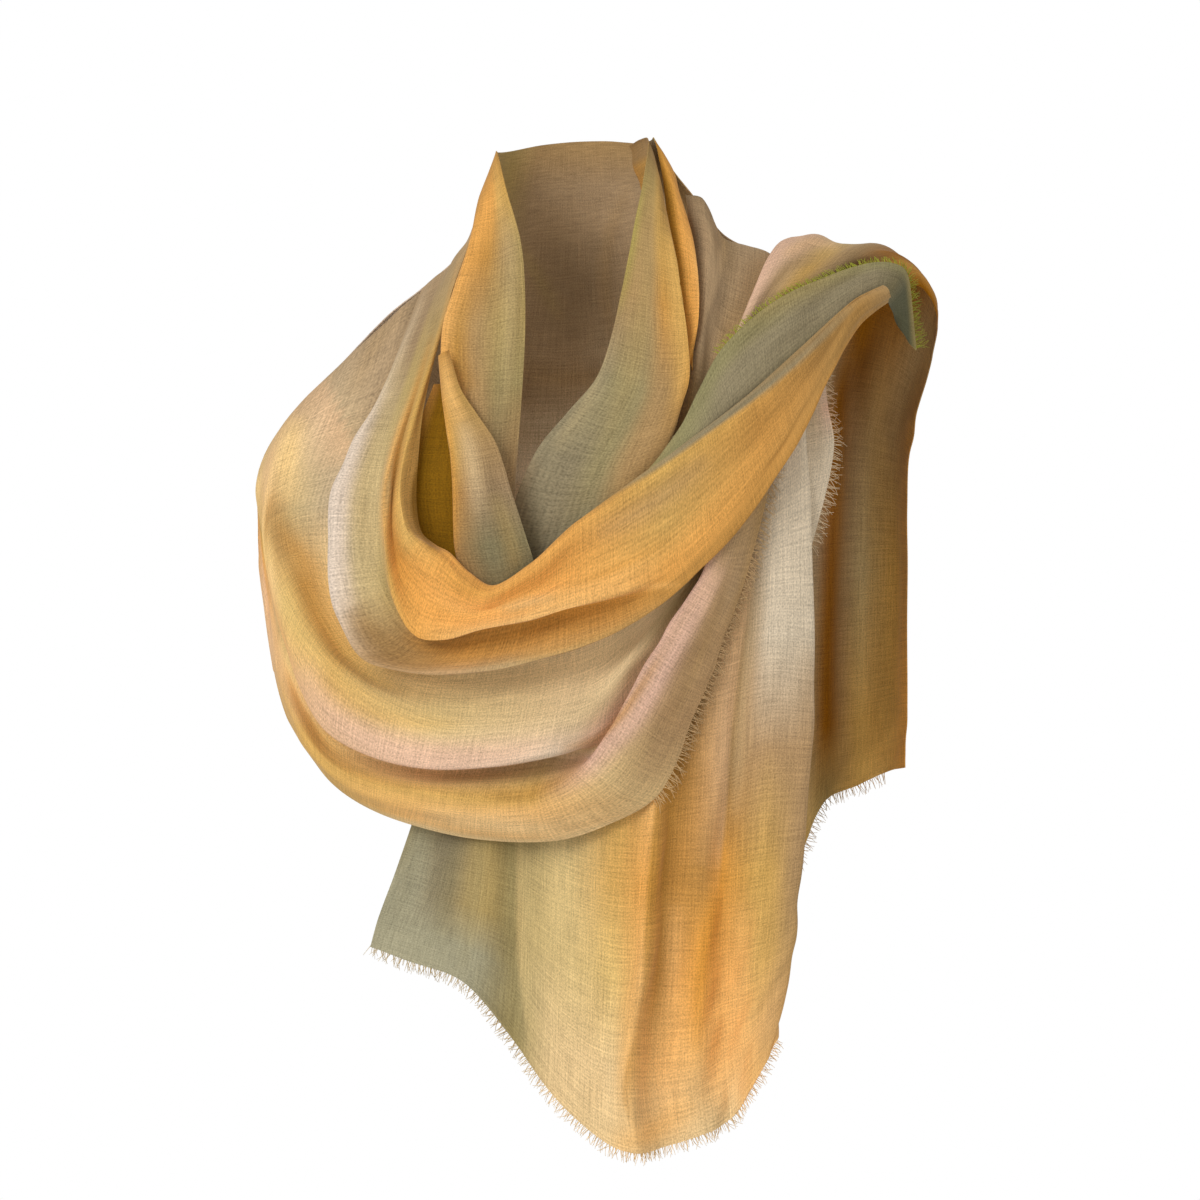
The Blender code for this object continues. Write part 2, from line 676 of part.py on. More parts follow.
def fringed(name, line, inner, level=False):
    """The three lines of a fringe beyond a cloth's edge: its strip's two and its strands' tips."""
    count, length = FRINGES[name]
    steps = np.linalg.norm(np.diff(line, axis=0), axis=1)
    at = np.concatenate([[0.0], np.cumsum(steps)])
    middles = at[-1] / count * (np.arange(count) + 0.5)
    places = np.sort(np.concatenate([[0.0, at[-1]], middles - ROOT / 2, middles + ROOT / 2]))
    along = np.gradient(line, axis=0)
    along /= np.linalg.norm(along, axis=1, keepdims=True)
    out = line - inner
    out -= along * np.sum(out * along, axis=1, keepdims=True)
    if level:
        out[:, 1] *= FRINGE_SLOPE
    out /= np.linalg.norm(out, axis=1, keepdims=True)

    def here(values):
        return np.stack([np.interp(places, at, values[:, k]) for k in range(3)], axis=1)

    edge, out, along = here(line), here(out), here(along)
    strand = np.arange(len(places))[:, None] // 2
    reach = length * (1.0 - LENGTH_SWING + LENGTH_SWING * np.sin(LENGTH_TURN * strand))
    lean = length * LEAN_SWING * np.sin(LEAN_TURN * strand)
    outer = edge + out * (STRIP_GAP + STRIP)
    return np.stack([edge + out * STRIP_GAP, outer, outer + out * reach + along * lean])


def fringe(name, lines, material):
    """A strip beside an edge, with strands of four sides that stand out of every second cell."""
    points, faces, rim, size = wall_of(lines[:2], facing_out(lines)[:2], STRIP_WALL)
    places = lines.shape[1]
    tips = []
    for a, b in zip(rim, np.roll(rim, -1)):
        if min(a, b) >= places and b % places % 2 == 1 and a - b == 1:
            tip = len(points) + len(tips)
            tips.append((lines[2, b % places] + lines[2, a % places]) / 2)
            faces += [(a, b, tip), (b, b + size, tip), (b + size, a + size, tip), (a + size, a, tip)]
        else:
            faces += [(a, b, b + size), (a, b + size, a + size)]
    return closed_mesh(name, np.concatenate([points, tips]), faces, material)


def colour(name, red, green, blue):
    """The material of a stretch: a soft, matte cloth."""
    made = bpy.data.materials.new(name)
    made.use_nodes = True
    shader = made.node_tree.nodes["Principled BSDF"]
    shader.inputs["Base Color"].default_value = (red, green, blue, 1.0)
    shader.inputs["Roughness"].default_value = 0.85
    shader.inputs["Metallic"].default_value = 0.0
    return made


def closed_mesh(name, points, faces, material):
    """An object of a closed mesh, from points in millimetres."""
    mesh = bpy.data.meshes.new(name)
    mesh.from_pydata((np.asarray(points) * MM).tolist(), [], [tuple(map(int, f)) for f in faces])
    mesh.shade_smooth()
    mesh.materials.append(material)
    made = bpy.data.objects.new(name, mesh)
    bpy.context.scene.collection.objects.link(made)
    return made


def wall_of(grid, normals, thickness):
    """The points and faces of a wall round a grid, and its rim's points in order."""
    rows, places = grid.shape[:2]
    half = normals * thickness / 2
    points = np.concatenate([(grid + half).reshape(-1, 3), (grid - half).reshape(-1, 3)])
    size = rows * places
    n = np.arange(size).reshape(rows, places)
    a, b, c, d = n[:-1, :-1].ravel(), n[1:, :-1].ravel(), n[1:, 1:].ravel(), n[:-1, 1:].ravel()
    faces = []
    for i, j, k in ((a, b, c), (a, c, d)):
        faces += list(zip(i, j, k))
        faces += list(zip(k + size, j + size, i + size))
    rim = np.concatenate([n[0, :-1], n[:-1, -1], n[-1, :0:-1], n[:0:-1, 0]])
    return points, faces, rim, size


def cloth(name, grid, normals, material):
    """A stretch of cloth as a closed wall."""
    points, faces, rim, size = wall_of(grid, normals, WALL)
    for a, b in zip(rim, np.roll(rim, -1)):
        faces += [(a, b, b + size), (a, b + size, a + size)]
    return closed_mesh(name, points, faces, material)


def clear_scene():
    for thing in list(bpy.data.objects):
        bpy.data.objects.remove(thing)


def drape():
    """The grid of each stretch, by name, each laid over the ones that it lies on."""
    back = draped(BACK_FOLDS, BACK_PLACES)
    shoulder = draped(SHOULDER_FOLDS, SHOULDER_PLACES)
    gold = laid_over(draped(GOLD_FOLDS, GOLD_PLACES), [shoulder], places=slice(ALONG, None))
    neck = laid_over(draped(NECK_FOLDS, NECK_PLACES), [gold], places=slice(2 * ALONG, None))
    returned = draped(RETURN_FOLDS, RETURN_PLACES)
    panel = laid_over(draped(PANEL_FOLDS, PANEL_PLACES), [returned])
    throat = laid_over(draped(THROAT_FOLDS, THROAT_PLACES), [neck])
    pocket = draped(POCKET_FOLDS, POCKET_PLACES)
    tongue = laid_over(draped(TONGUE_FOLDS, TONGUE_PLACES), [throat, pocket, neck], 2 * WALL)
    tail = laid_over(draped(TAIL_FOLDS, TAIL_PLACES), [shoulder], places=slice(2 * ALONG + 1))
    tail = laid_over(tail, [back], places=slice(2 * ALONG, None))
    under_band = [neck, gold, shoulder, tail, panel, tongue]
    band = laid_over(draped(BAND_FOLDS, BAND_PLACES), under_band, places=slice(BAND_TURN * ALONG + 1))
    swag = laid_over(draped(SWAG_FOLDS, SWAG_PLACES), [panel, returned])
    rim = draped(RIM_FOLDS, RIM_PLACES)
    rim = laid_over(rim, [pocket, swag, neck, panel], places=slice(1, None))
    rim = laid_over(rim, [band, tongue, throat], places=slice(2 * ALONG, None))
    return {
        "back_panel": back,
        "shoulder_fold": shoulder,
        "neck_fold": gold,
        "neck_drape": neck,
        "front_panel": panel,
        "panel_return": returned,
        "throat_drape": throat,
        "throat_tongue": tongue,
        "swag_pocket": pocket,
        "swag_rim": rim,
        "swag": swag,
        "shoulder_band": band,
        "back_tail": tail,
    }


def fringe_lines(grids):
    """The lines of each fringe, by name."""
    panel, swag, returned = grids["front_panel"], grids["swag"], grids["panel_return"]
    band, tail, back = grids["shoulder_band"], grids["back_tail"], grids["back_panel"]
    hem = panel[: HEM_TO * ACROSS + 1]
    frayed = swag[-2:, FRAYED_FROM * ALONG :]
    selvedge = band[-2:, SELVEDGE_FROM * ALONG : BAND_TURN * ALONG]
    tail_hem = tail[:-ACROSS]
    lower_edge = back[-2:, ALONG:-ALONG]
    on_panel = [panel, returned]
    on_shoulder = [tail, grids["shoulder_fold"]]
    return {
        "hem": fringed("hem", hem[:, -1], hem[:, -2]),
        "swag": laid_over(fringed("swag", frayed[1], frayed[0], level=True), on_panel, FRINGE_CLEAR),
        "return": fringed("return", returned[-1], returned[-2]),
        "band": laid_over(fringed("band", selvedge[1], selvedge[0], level=True), on_shoulder, FRINGE_CLEAR),
        "tail": fringed("tail", tail_hem[:, -1], tail_hem[:, -2]),
        "back": fringed("back", lower_edge[1], lower_edge[0]),
    }


def main():
    clear_scene()
    orange = colour("orange_cloth", 0.72, 0.40, 0.12)
    olive = colour("olive_cloth", 0.36, 0.32, 0.17)
    taupe = colour("taupe_cloth", 0.42, 0.30, 0.18)
    beige = colour("beige_cloth", 0.58, 0.44, 0.27)
    grey = colour("grey_green_cloth", 0.25, 0.25, 0.17)
    dyed = {
        "back_panel": olive,
        "shoulder_fold": taupe,
        "neck_fold": orange,
        "neck_drape": olive,
        "front_panel": orange,
        "panel_return": beige,
        "throat_drape": orange,
        "throat_tongue": beige,
        "swag_pocket": orange,
        "swag_rim": orange,
        "swag": beige,
        "shoulder_band": grey,
        "back_tail": taupe,
    }
    fringe_dyed = {"hem": orange, "swag": beige, "return": beige, "band": olive, "tail": taupe, "back": olive}

    grids = drape()
    split = OUTER_FROM * ACROSS
    for name, grid in grids.items():
        facing = facing_out(grid)
        if name == "swag":
            cloth(name, grid[: split + 1], facing[: split + 1], dyed[name])
            cloth("swag_outer", parted(grid[split:]), facing[split:], orange)
        else:
            cloth(name, grid, facing, dyed[name])
    for name, lines in fringe_lines(grids).items():
        fringe(name + "_fringe", lines, fringe_dyed[name])


main()
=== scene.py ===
"""The looks of the wool and silk scarf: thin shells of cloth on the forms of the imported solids.

Each stretch of cloth starts from the same fold lines as its solid, is laid over the stretches
under it in the same way, and is then drawn finer, creased, rippled and dyed. A shell's weave
runs along its own length and width. Tables hold millimetres.
"""

import math

import bpy
import numpy as np
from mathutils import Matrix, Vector
from mathutils.bvhtree import BVHTree

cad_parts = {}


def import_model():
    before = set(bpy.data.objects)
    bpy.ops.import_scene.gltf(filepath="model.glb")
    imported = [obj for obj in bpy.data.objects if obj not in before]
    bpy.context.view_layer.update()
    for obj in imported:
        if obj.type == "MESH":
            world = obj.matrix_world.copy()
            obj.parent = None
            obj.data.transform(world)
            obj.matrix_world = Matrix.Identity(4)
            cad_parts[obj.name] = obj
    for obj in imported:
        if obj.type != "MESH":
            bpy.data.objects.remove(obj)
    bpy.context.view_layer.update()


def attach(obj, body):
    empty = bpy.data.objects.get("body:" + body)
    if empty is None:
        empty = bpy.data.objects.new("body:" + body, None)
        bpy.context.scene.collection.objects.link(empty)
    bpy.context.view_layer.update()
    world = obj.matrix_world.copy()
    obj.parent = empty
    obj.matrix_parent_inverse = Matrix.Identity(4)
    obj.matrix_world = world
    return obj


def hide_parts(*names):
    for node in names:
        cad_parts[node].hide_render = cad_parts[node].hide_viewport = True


MM = 0.001
WALL = 1.5  # the cloth's wall
REST = 0.4  # between a stretch and what it lies on
SPARE = 0.3  # for the smoothing between a grid's points
CLEAR = WALL + REST + SPARE  # between the middles of two walls that lie on each other
REACH = 40  # how far inside another stretch a fold can be found
PAST = 3  # how many clearances outside it a fold is still looked at
STEEPEST = 0.4  # the flattest angle, as a cosine, at which a wall is still cleared square
NEAR_ENOUGH = 0.05  # a push too small to matter
ROUNDS = 4  # of pushing one stretch clear of others
SEAM_PLANE = 1.0  # how near y = 0 a line of the seam at the limb lies
LIMB_BLEND = 30  # from the seam at the limb to where the cloth faces forward
ACROSS = 3  # sections from one fold line to the next
ALONG = 2  # sections from one place on a fold line to the next
LEAST = 1e-6  # the least chord or share that counts
TINY = 1e-9  # the least length that is divided by

# From where the tables' x and z are seen.
EYE_DISTANCE = 3000
EYE_ACROSS, EYE_UP = 18, -202
CHEST_DEPTH = 100

# The wearer's half widths, arms and all, and depths from the neck's axis, at some heights.
FIGURE_COLUMNS = ("height", "right_side", "left_side", "front", "back")
FIGURE = (
    (-600, 190, 240, 116, 105),
    (-400, 190, 240, 106, 104),
    (-300, 190, 240, 110, 106),
    (-200, 190, 240, 114, 110),
    (-150, 190, 240, 110, 112),
    (-110, 184, 240, 103, 110),
    (-80, 168, 238, 94, 106),
    (-50, 142, 231, 82, 100),
    (-20, 112, 216, 68, 92),
    (0, 94, 203, 58, 84),
    (15, 74, 140, 52, 76),
    (30, 62, 80, 49, 68),
    (60, 53, 55, 47, 60),
    (120, 50, 50, 45, 56),
)
ROUNDNESS = 2.2  # of a section of the figure: 2 is an ellipse

FRONT, LIMB, BACK = "front", "limb", "back"

# ---------------------------------------------------------------- folds of the front panel
PANEL_PLACES = (
    ("under_the_swag", FRONT, 0.4),
    ("chest", FRONT, 0.5),
    ("bust", FRONT, 0.7),
    ("waist", FRONT, 0.9),
    ("belly", FRONT, 1.1),
    ("skirt", FRONT, 1.2),
    ("hem", FRONT, 1.3),
)
PANEL_FOLDS = (
    ("left_edge", 5, (
        (-62, -208), (-72, -250), (-88, -300), (-106, -350), (-118, -385), (-128, -412),
        (-133, -430),
    )),
    ("valley_1", 4, (
        (-50, -206), (-58, -255), (-66, -305), (-80, -355), (-90, -395), (-100, -420),
        (-106, -440),
    )),
    ("ridge_1", 15, (
        (-38, -204), (-42, -258), (-48, -310), (-56, -360), (-62, -405), (-67, -432),
        (-72, -453),
    )),
    ("valley_2", 4, (
        (-22, -198), (-26, -258), (-30, -315), (-34, -365), (-36, -415), (-37, -452),
        (-40, -490),
    )),
    ("bay", 9, (
        (0, -186), (-2, -255), (-5, -320), (-8, -380), (-8, -435), (-8, -490), (-10, -531),
    )),
    ("ridge_2", 13, (
        (30, -165), (30, -250), (30, -325), (28, -390), (26, -450), (24, -510), (24, -560),
    )),
    ("crest", 20, (
        (52, -152), (52, -245), (53, -325), (48, -390), (44, -450), (38, -510), (42, -566),
    )),
    ("valley_3", 5, (
        (66, -142), (66, -240), (64, -320), (60, -385), (56, -450), (52, -510), (58, -562),
    )),
    ("flat", 10, (
        (92, -125), (90, -235), (88, -315), (86, -385), (84, -450), (82, -505), (84, -554),
    )),
    ("crease", 4, (
        (115, -108), (108, -230), (102, -310), (99, -385), (99, -445), (100, -495), (104, -543),
    )),
    ("ridge_3", 18, (
        (136, -85), (132, -225), (128, -300), (124, -380), (120, -440), (118, -485), (120, -519),
    )),
    ("right_edge", 18, (
        (152, -62), (159, -228), (157, -300), (150, -375), (146, -425), (140, -460), (134, -490),
    )),
    ("turned_in", -3, (
        (147, -64), (151, -226), (149, -298), (143, -372), (139, -420), (133, -453), (127, -483),
    )),
)

HEM_TO = 11  # the fold line where the hem turns under

# ------------------------------------------------------- the panel's own edge, turned under
RETURN_PLACES = (
    ("armpit", FRONT, 1.0),
    ("chest", FRONT, 1.0),
    ("fray", FRONT, 1.0),
    ("low_fray", FRONT, 1.0),
    ("end", FRONT, 1.0),
)
RETURN_FOLDS = (
    ("inside", -3, ((144, -50), (143, -80), (143, -105), (142, -140), (142, -172))),
    ("middle", -5, ((156, -50), (157, -78), (158, -102), (155, -136), (150, -170))),
    ("edge", -6, ((165, -52), (168, -76), (172, -98), (166, -132), (157, -167))),
)

# -------------------------------------------------------------- folds right of the throat
NECK_PLACES = (
    ("nape", BACK, 1.0),
    ("side", LIMB, 0),
    ("collar", FRONT, 0.5),
    ("throat", FRONT, 0.8),
    ("neck_base", FRONT, 1.0),
    ("breastbone", FRONT, 1.0),
    ("chest", FRONT, 0.8),
    ("under_the_swag", FRONT, 0.5),
)
NECK_FOLDS = (
    ("neckline", 3, (
        (38, 111, 1), (49, 101), (47, 76), (41, 48), (32, 0), (16, -55), (-24, -104),
        (-60, -204),
    )),
    ("olive_inner", 6, (
        (40, 106, 1), (50, 97), (50, 74), (46, 46), (41, -2), (30, -60), (-2, -112), (-32, -199),
    )),
    ("olive", 10, (
        (41, 100, 1), (52, 92), (53, 71), (52, 43), (51, -5), (44, -64), (18, -115), (-2, -185),
    )),
    ("gold", 18, (
        (43, 93, 1), (54, 86), (57, 67), (58, 40), (61, -8), (59, -66), (38, -114), (28, -165),
    )),
    ("roll", 20, (
        (45, 86, 1), (56, 78), (61, 60), (66, 36), (74, -10), (76, -60), (62, -104), (60, -146),
    )),
    ("roll_turned", 8, (
        (46, 80, 1), (56, 71), (59, 52), (62, 32), (68, -12), (70, -60), (57, -100), (56, -142),
    )),
)
GOLD_PLACES = (
    ("side", LIMB, 0),
    ("collar", LIMB, -22),
    ("throat", LIMB, -42),
    ("neck_base", FRONT, 1.0),
    ("breastbone", FRONT, 1.0),
    ("chest", FRONT, 0.6),
)
GOLD_FOLDS = (
    ("inside", 2, ((54, 100), (60, 76, -8), (64, 42, -27), (66, 8), (67, -24), (64, -50))),
    ("crest", 10, ((60, 91), (67, 68, -17), (73, 40, -38), (76, 8), (76, -24), (70, -48))),
    ("edge", 14, ((67, 78), (75, 54, -19), (80, 32, -40), (83, 6), (82, -22), (76, -45))),
    ("turned", 5, ((69, 70), (74, 46, -12), (77, 25, -30), (79, -1), (79, -28), (79, -51))),
)
SHOULDER_PLACES = (
    ("top", LIMB, 0),
    ("slope", LIMB, -34),
    ("collarbone", FRONT, 0.9),
    ("chest", FRONT, 0.7),
    ("under_the_band", FRONT, 0.5),
)
SHOULDER_FOLDS = (
    ("inside", -9, ((74, 64), (78, 36, -18), (77, 0), (73, -46), (66, -96))),
    ("taupe", 9, ((85, 62), (90, 33, -30), (88, 0), (82, -48), (74, -92))),
    ("crease", 4, ((99, 36), (99, 14, -42), (95, -18), (88, -52), (82, -86))),
    ("hollow", 6, ((113, 31), (112, 8, -44), (106, -24), (98, -50), (93, -72))),
    ("slope", 3, ((127, 27), (126, 3, -42), (120, -22), (113, -42), (108, -54))),
    ("outer", -2, ((144, 15), (142, -2, -38), (136, -20), (129, -34), (126, -42))),
)

# --------------------------------------------------------------- folds left of the throat
THROAT_PLACES = (
    ("side", LIMB, 0),
    ("collar", FRONT, 0.6),
    ("throat", FRONT, 0.9),
    ("neck_base", FRONT, 1.0),
    ("breastbone", FRONT, 1.0),
    ("chest", FRONT, 0.9),
    ("under_the_swag", FRONT, 0.9),
)
THROAT_FOLDS = (
    ("neckline", 6, (
        (-50, 93), (-43, 66), (-34, 32), (-31, -15), (-33, -60), (-37, -115), (-42, -186),
    )),
    ("inner", 12, (
        (-52, 87), (-48, 62), (-44, 28), (-45, -18), (-47, -62), (-49, -118), (-50, -188),
    )),
    ("orange", 18, (
        (-55, 79), (-54, 58), (-56, 24), (-62, -20), (-63, -62), (-62, -118), (-58, -190),
    )),
    ("roll", 20, (
        (-59, 68), (-63, 52), (-70, 20), (-84, -18, 19), (-85, -58, 13), (-73, -118, 12),
        (-67, -192, 12),
    )),
    ("roll_turned", 10, (
        (-63, 50), (-61, 43), (-66, 16), (-78, -20, 9), (-79, -60, 5), (-71, -122, 4),
        (-65, -196, 4),
    )),
)
TONGUE_PLACES = (
    ("tip", FRONT, 0.9),
    ("upper", FRONT, 1.0),
    ("middle", FRONT, 1.0),
    ("lower", FRONT, 1.0),
    ("foot", FRONT, 1.0),
    ("v", FRONT, 0.9),
    ("under_the_swag", FRONT, 0.5),
)
TONGUE_FOLDS = (
    ("right_edge", 26, (
        (-82, -38), (-74, -64), (-51, -98), (-41, -128), (-30, -162), (-24, -182), (-22, -198),
    )),
    ("middle", 31, (
        (-85, -40), (-80, -68), (-65, -101), (-60, -132), (-54, -166), (-48, -192), (-45, -210),
    )),
    ("left_edge", 28, (
        (-88, -42), (-86, -71), (-80, -104), (-79, -134), (-77, -168), (-71, -190), (-66, -208),
    )),
    ("turned", 19, (
        (-87, -46), (-82, -76), (-75, -110), (-74, -140), (-72, -172), (-67, -195), (-62, -213),
    )),
)
POCKET_PLACES = (
    ("collarbone", FRONT, 0.6),
    ("side", FRONT, 1.0),
    ("turn", FRONT, 1.0),
    ("corner", FRONT, 1.0),
)
POCKET_FOLDS = (
    ("left", 14, ((-91, -60), (-110, -120), (-104, -162), (-86, -186))),
    ("middle", 5, ((-84, -60), (-97, -121), (-91, -168), (-78, -194))),
    ("right", 3, ((-75, -60), (-72, -122), (-70, -172), (-66, -200))),
)

# -------------------------------------------- the rim: the swag's upper folds
RIM_PLACES = (
    ("shoulder", LIMB, 0),
    ("collarbone", FRONT, 0.5),
    ("side", FRONT, 0.8),
    ("turn", FRONT, 1.0),
    ("corner", FRONT, 1.1),
    ("v", FRONT, 1.2),
    ("middle", FRONT, 1.1),
    ("climb", FRONT, 0.95),
    ("reach", FRONT, 0.75),
    ("collar", FRONT, 0.7),
    ("near_the_crown", LIMB, -58),
    ("crown", LIMB, -44),
)
RIM_FOLDS = (
    ("inside", 14, (
        (-64, 47), (-93, -52, 8), (-103, -118), (-99, -158), (-80, -171), (-52, -192), (1, -152),
        (58, -112), (117, -66), (163, -24), (186, -4, -48),
        (204, 5, -40),
    )),
    ("rim", 38, (
        (-69, 34), (-96, -56, 14), (-113, -122), (-107, -160), (-85, -176), (-55, -198),
        (0, -158), (60, -118), (120, -72), (165, -28), (187, -6, -56), (206, 3.5),
    )),
    ("band", 31, (
        (-73, 28), (-100, -59, 14), (-118, -126), (-115, -176), (-95, -203), (-58, -209),
        (0, -184), (61, -152), (124, -96), (167, -38), (188, -9), (207.5, 1.5, -46),
    )),
    ("ridge", 42, (
        (-78, 21), (-105, -61, 17), (-123, -130), (-121, -186), (-103, -227), (-62, -222),
        (0, -207), (62, -182, 32), (128, -111, 27), (168, -45, 24), (189, -12),
        (208.5, -0.5, -46),
    )),
    ("ridge_turned", 29, (
        (-82, 16), (-109.5, -62.5, 15), (-128, -132), (-123, -190), (-99, -222), (-61, -218),
        (0, -206), (63, -187, 31), (129, -115, 26), (168.5, -48, 24),
        (189.5, -14, -57), (209, -2.5, -43),
    )),
    ("olive_band", 30, (
        (-88, 12), (-115, -64, 15), (-142, -131), (-140, -193), (-116, -236), (-70, -238),
        (0, -221), (64.5, -193, 31), (130, -120, 26), (169, -51, 24), (189.7, -17, -55),
        (208.5, -4.5, -40),
    )),
    ("beige_edge", 37, (
        (-94, 7), (-125, -66, 17), (-157, -130), (-158, -196), (-138, -240), (-80, -250),
        (0, -234), (66, -199, 31), (131, -126, 26), (169.5, -54, 23), (189.5, -21, -52),
        (207.5, -6.5, -37),
    )),
    ("beige_turned", 20, (
        (-98, 3), (-127, -71, 10), (-152, -133), (-152, -199), (-133, -234), (-78, -243),
        (0, -228), (63, -194, 21), (127, -120, 16), (166, -49, 14), (186.5, -18, -50),
        (205, -7, -32),
    )),
)

# -------------------------------------------- the swag: the deep folds hung over the chest
SWAG_PLACES = (
    ("arm", LIMB, 0),
    ("upper", FRONT, 0.6),
    ("side", FRONT, 0.8),
    ("turn", FRONT, 1.0),
    ("corner", FRONT, 1.1),
    ("low", FRONT, 1.2),
    ("middle", FRONT, 1.1),
    ("hook", FRONT, 1.0),
    ("climb", FRONT, 1.0),
    ("high", FRONT, 1.0),
    ("top", FRONT, 1.0),
    ("under_the_rim", FRONT, 1.0),
)
SWAG_FOLDS = (
    ("inside", 13, (
        (-101, 0), (-120, -72), (-147, -135), (-147, -198), (-128, -230), (-76, -238), (0, -223),
        (30, -209), (56, -193), (80, -180, 12), (86, -170, 11), (92, -158, 10),
    )),
    ("valley", 14, (
        (-150, -45), (-172, -91), (-189, -146), (-177, -192), (-150, -237), (-85, -262),
        (-2, -250), (26, -236), (50, -215), (74, -194, 13), (87, -174, 11), (95, -156, 10),
    )),
    ("ridge", 31, (
        (-188, -84), (-196, -106), (-202, -156), (-189, -204), (-158, -248), (-88, -284),
        (-8, -277), (19, -266, 27), (42, -239, 18), (68, -206, 13), (87, -180, 10),
        (98, -155, 9),
    )),
    ("pink_edge", 36, (
        (-206, -118), (-207, -132), (-201, -180), (-190, -228), (-162, -288), (-95, -313),
        (-14, -305), (12, -295, 26), (49, -268, 11), (75, -219, 9), (91, -188, 6),
        (102, -153, 4),
    )),
    ("pink_turned", 26, (
        (-206.5, -128), (-206, -142, 19.5), (-199, -189, 27), (-187, -236, 31), (-158, -283),
        (-93, -305, 24), (-12, -297, 24), (13, -300, 22), (52, -271, 16), (78, -222, 14),
        (94, -190, 12), (105, -152, 10),
    )),
    ("hollow", 20, (
        (-206.5, -138), (-205, -153, 18.5), (-199, -198, 25), (-188, -243, 29), (-161, -293, 19),
        (-95, -314, 18), (-15, -306, 18), (12, -306, 24), (47, -269, 23), (74, -219, 20),
        (91, -187, 18), (102, -150, 16),
    )),
    ("strip_edge", 34, (
        (-206, -160), (-203, -180), (-199, -217), (-190, -258), (-160, -308), (-98, -328),
        (-26, -330), (9, -309, 31), (38, -263, 30), (66, -214, 26), (86, -182, 24),
        (97, -146, 22),
    )),
    ("strip", 35, (
        (-205, -184), (-202, -202), (-198, -232), (-189, -269), (-159, -316), (-99, -338),
        (-25, -342), (24, -319), (52, -273), (79, -222, 31), (96, -189, 26), (108, -142, 20),
    )),
    ("taupe", 26, (
        (-202, -207), (-200, -220), (-196, -245), (-187, -277), (-157, -322), (-101, -345),
        (-22, -353), (38, -328), (64, -281, 24), (89, -228, 21), (104, -194, 18),
        (121, -128, 15),
    )),
    ("frayed_edge", 17, (
        (-198, -228), (-197, -238), (-194, -257), (-184, -285), (-153, -327), (-102, -351),
        (-18, -360), (53, -333), (77, -285, 13), (97, -234, 12), (110, -197, 11),
        (133, -113, 10),
    )),
)
OUTER_FROM = 5  # the fold line of the swag where its outer folds begin
FRAYED_FROM = 7  # the place of the swag where its frayed edge comes out of the bottom fold

# --------------------------------------------------- the upper edge, over the left shoulder
BAND_PLACES = (
    ("v", FRONT, 0.8),
    ("start", FRONT, 0.9),
    ("chest", FRONT, 1.0),
    ("climb", FRONT, 0.9),
    ("reach", FRONT, 0.8),
    ("collar", FRONT, 0.7),
    ("near_the_crown", LIMB, -36),
    ("crown", LIMB, -27),
    ("over", LIMB, -14),
    ("behind", LIMB, 8),
)
BAND_FOLDS = (
    ("inside", 20, (
        (8, -162), (52, -133), (80, -118), (105, -94), (136, -66), (168, -36), (195, -9, -41),
        (206, -5, -35), (209, -9, -24), (212, -18, 3),
    )),
    ("lower", 23, (
        (12, -156), (50, -128), (78, -108), (102, -79), (133, -49), (166, -23), (196, 1, -43),
        (210, 3, -32), (213, -4, -19), (216, -24),
    )),
    ("upper", 24, (
        (17, -150), (49, -123), (75, -97), (99, -60), (131, -28), (163, -7), (197, 11, -39),
        (213.5, 10), (218, 1, -13), (221, -33, 15),
    )),
    ("edge", 21, (
        (22, -144), (48, -118), (72, -86), (95, -41), (128, -9), (160, 7), (198, 20, -31),
        (216.5, 17, -19), (221, 8, -11), (226, -38, 21),
    )),
)

SELVEDGE_FROM = 3  # the place of the band where its selvedge comes out of the folds
BAND_TURN = 7  # the place where it turns down over the shoulder, inside the other end

# --------------------------------------------- the other end, over the shoulder and behind
TAIL_PLACES = (
    ("under_the_band", FRONT, 0.4),
    ("front", LIMB, -40),
    ("top", LIMB, 14),
    ("behind", LIMB, 52),
    ("blade", BACK, 1.0),
    ("back", BACK, 1.0),
    ("waist", BACK, 1.0),
    ("hem", BACK, 1.0),
)
TAIL_FOLDS = (
    ("turned", 2, (
        (106, -47, 5), (124, -4, -58), (141, 27), (146, 0), (120, -90, 22), (114, -190, 26),
        (112, -300, 26), (112, -418, 22),
    )),
    ("pink_edge", 8, (
        (104, -39, 13), (121, 3, -65), (138, 33), (142, 6), (128, -90, 30), (124, -190, 34),
        (124, -300, 34), (124, -424, 30),
    )),
    ("pink", 16, (
        (113, -31, 16), (138, 13, -58), (158, 37), (158, 10), (146, -86, 38), (142, -188, 40),
        (142, -300, 38), (140, -412, 34),
    )),
    ("tan_valley", 9, (
        (124, -23, 12), (158, 17, -46), (176, 31), (174, 4), (164, -84, 24), (160, -188, 22),
        (158, -295, 20), (157, -386, 18),
    )),
    ("taupe", 16, (
        (142, -15, 16), (180, 23, -32), (199, 31), (196, 6), (184, -82, 32), (180, -185, 32),
        (178, -290, 30), (176, -344, 28),
    )),
    ("brown", 12, (
        (158, -9, 12), (203, 25, -14), (220, 21), (216, -2), (206, -84, 16), (202, -182, 16),
        (200, -285, 16), (197, -332, 16),
    )),
    ("outer", 14, (
        (174, -6, 14), (222, 16, -1), (236, 3), (234, -20), (224, -90, 26), (222, -180, 26),
        (220, -280, 26), (218, -322, 24),
    )),
    ("outer_turned", 8, (
        (183, -8, 8), (229, 4, 5), (239, -14), (237, -40), (232, -100, 10), (231, -180, 10),
        (230, -276, 10), (229, -318, 10),
    )),
)

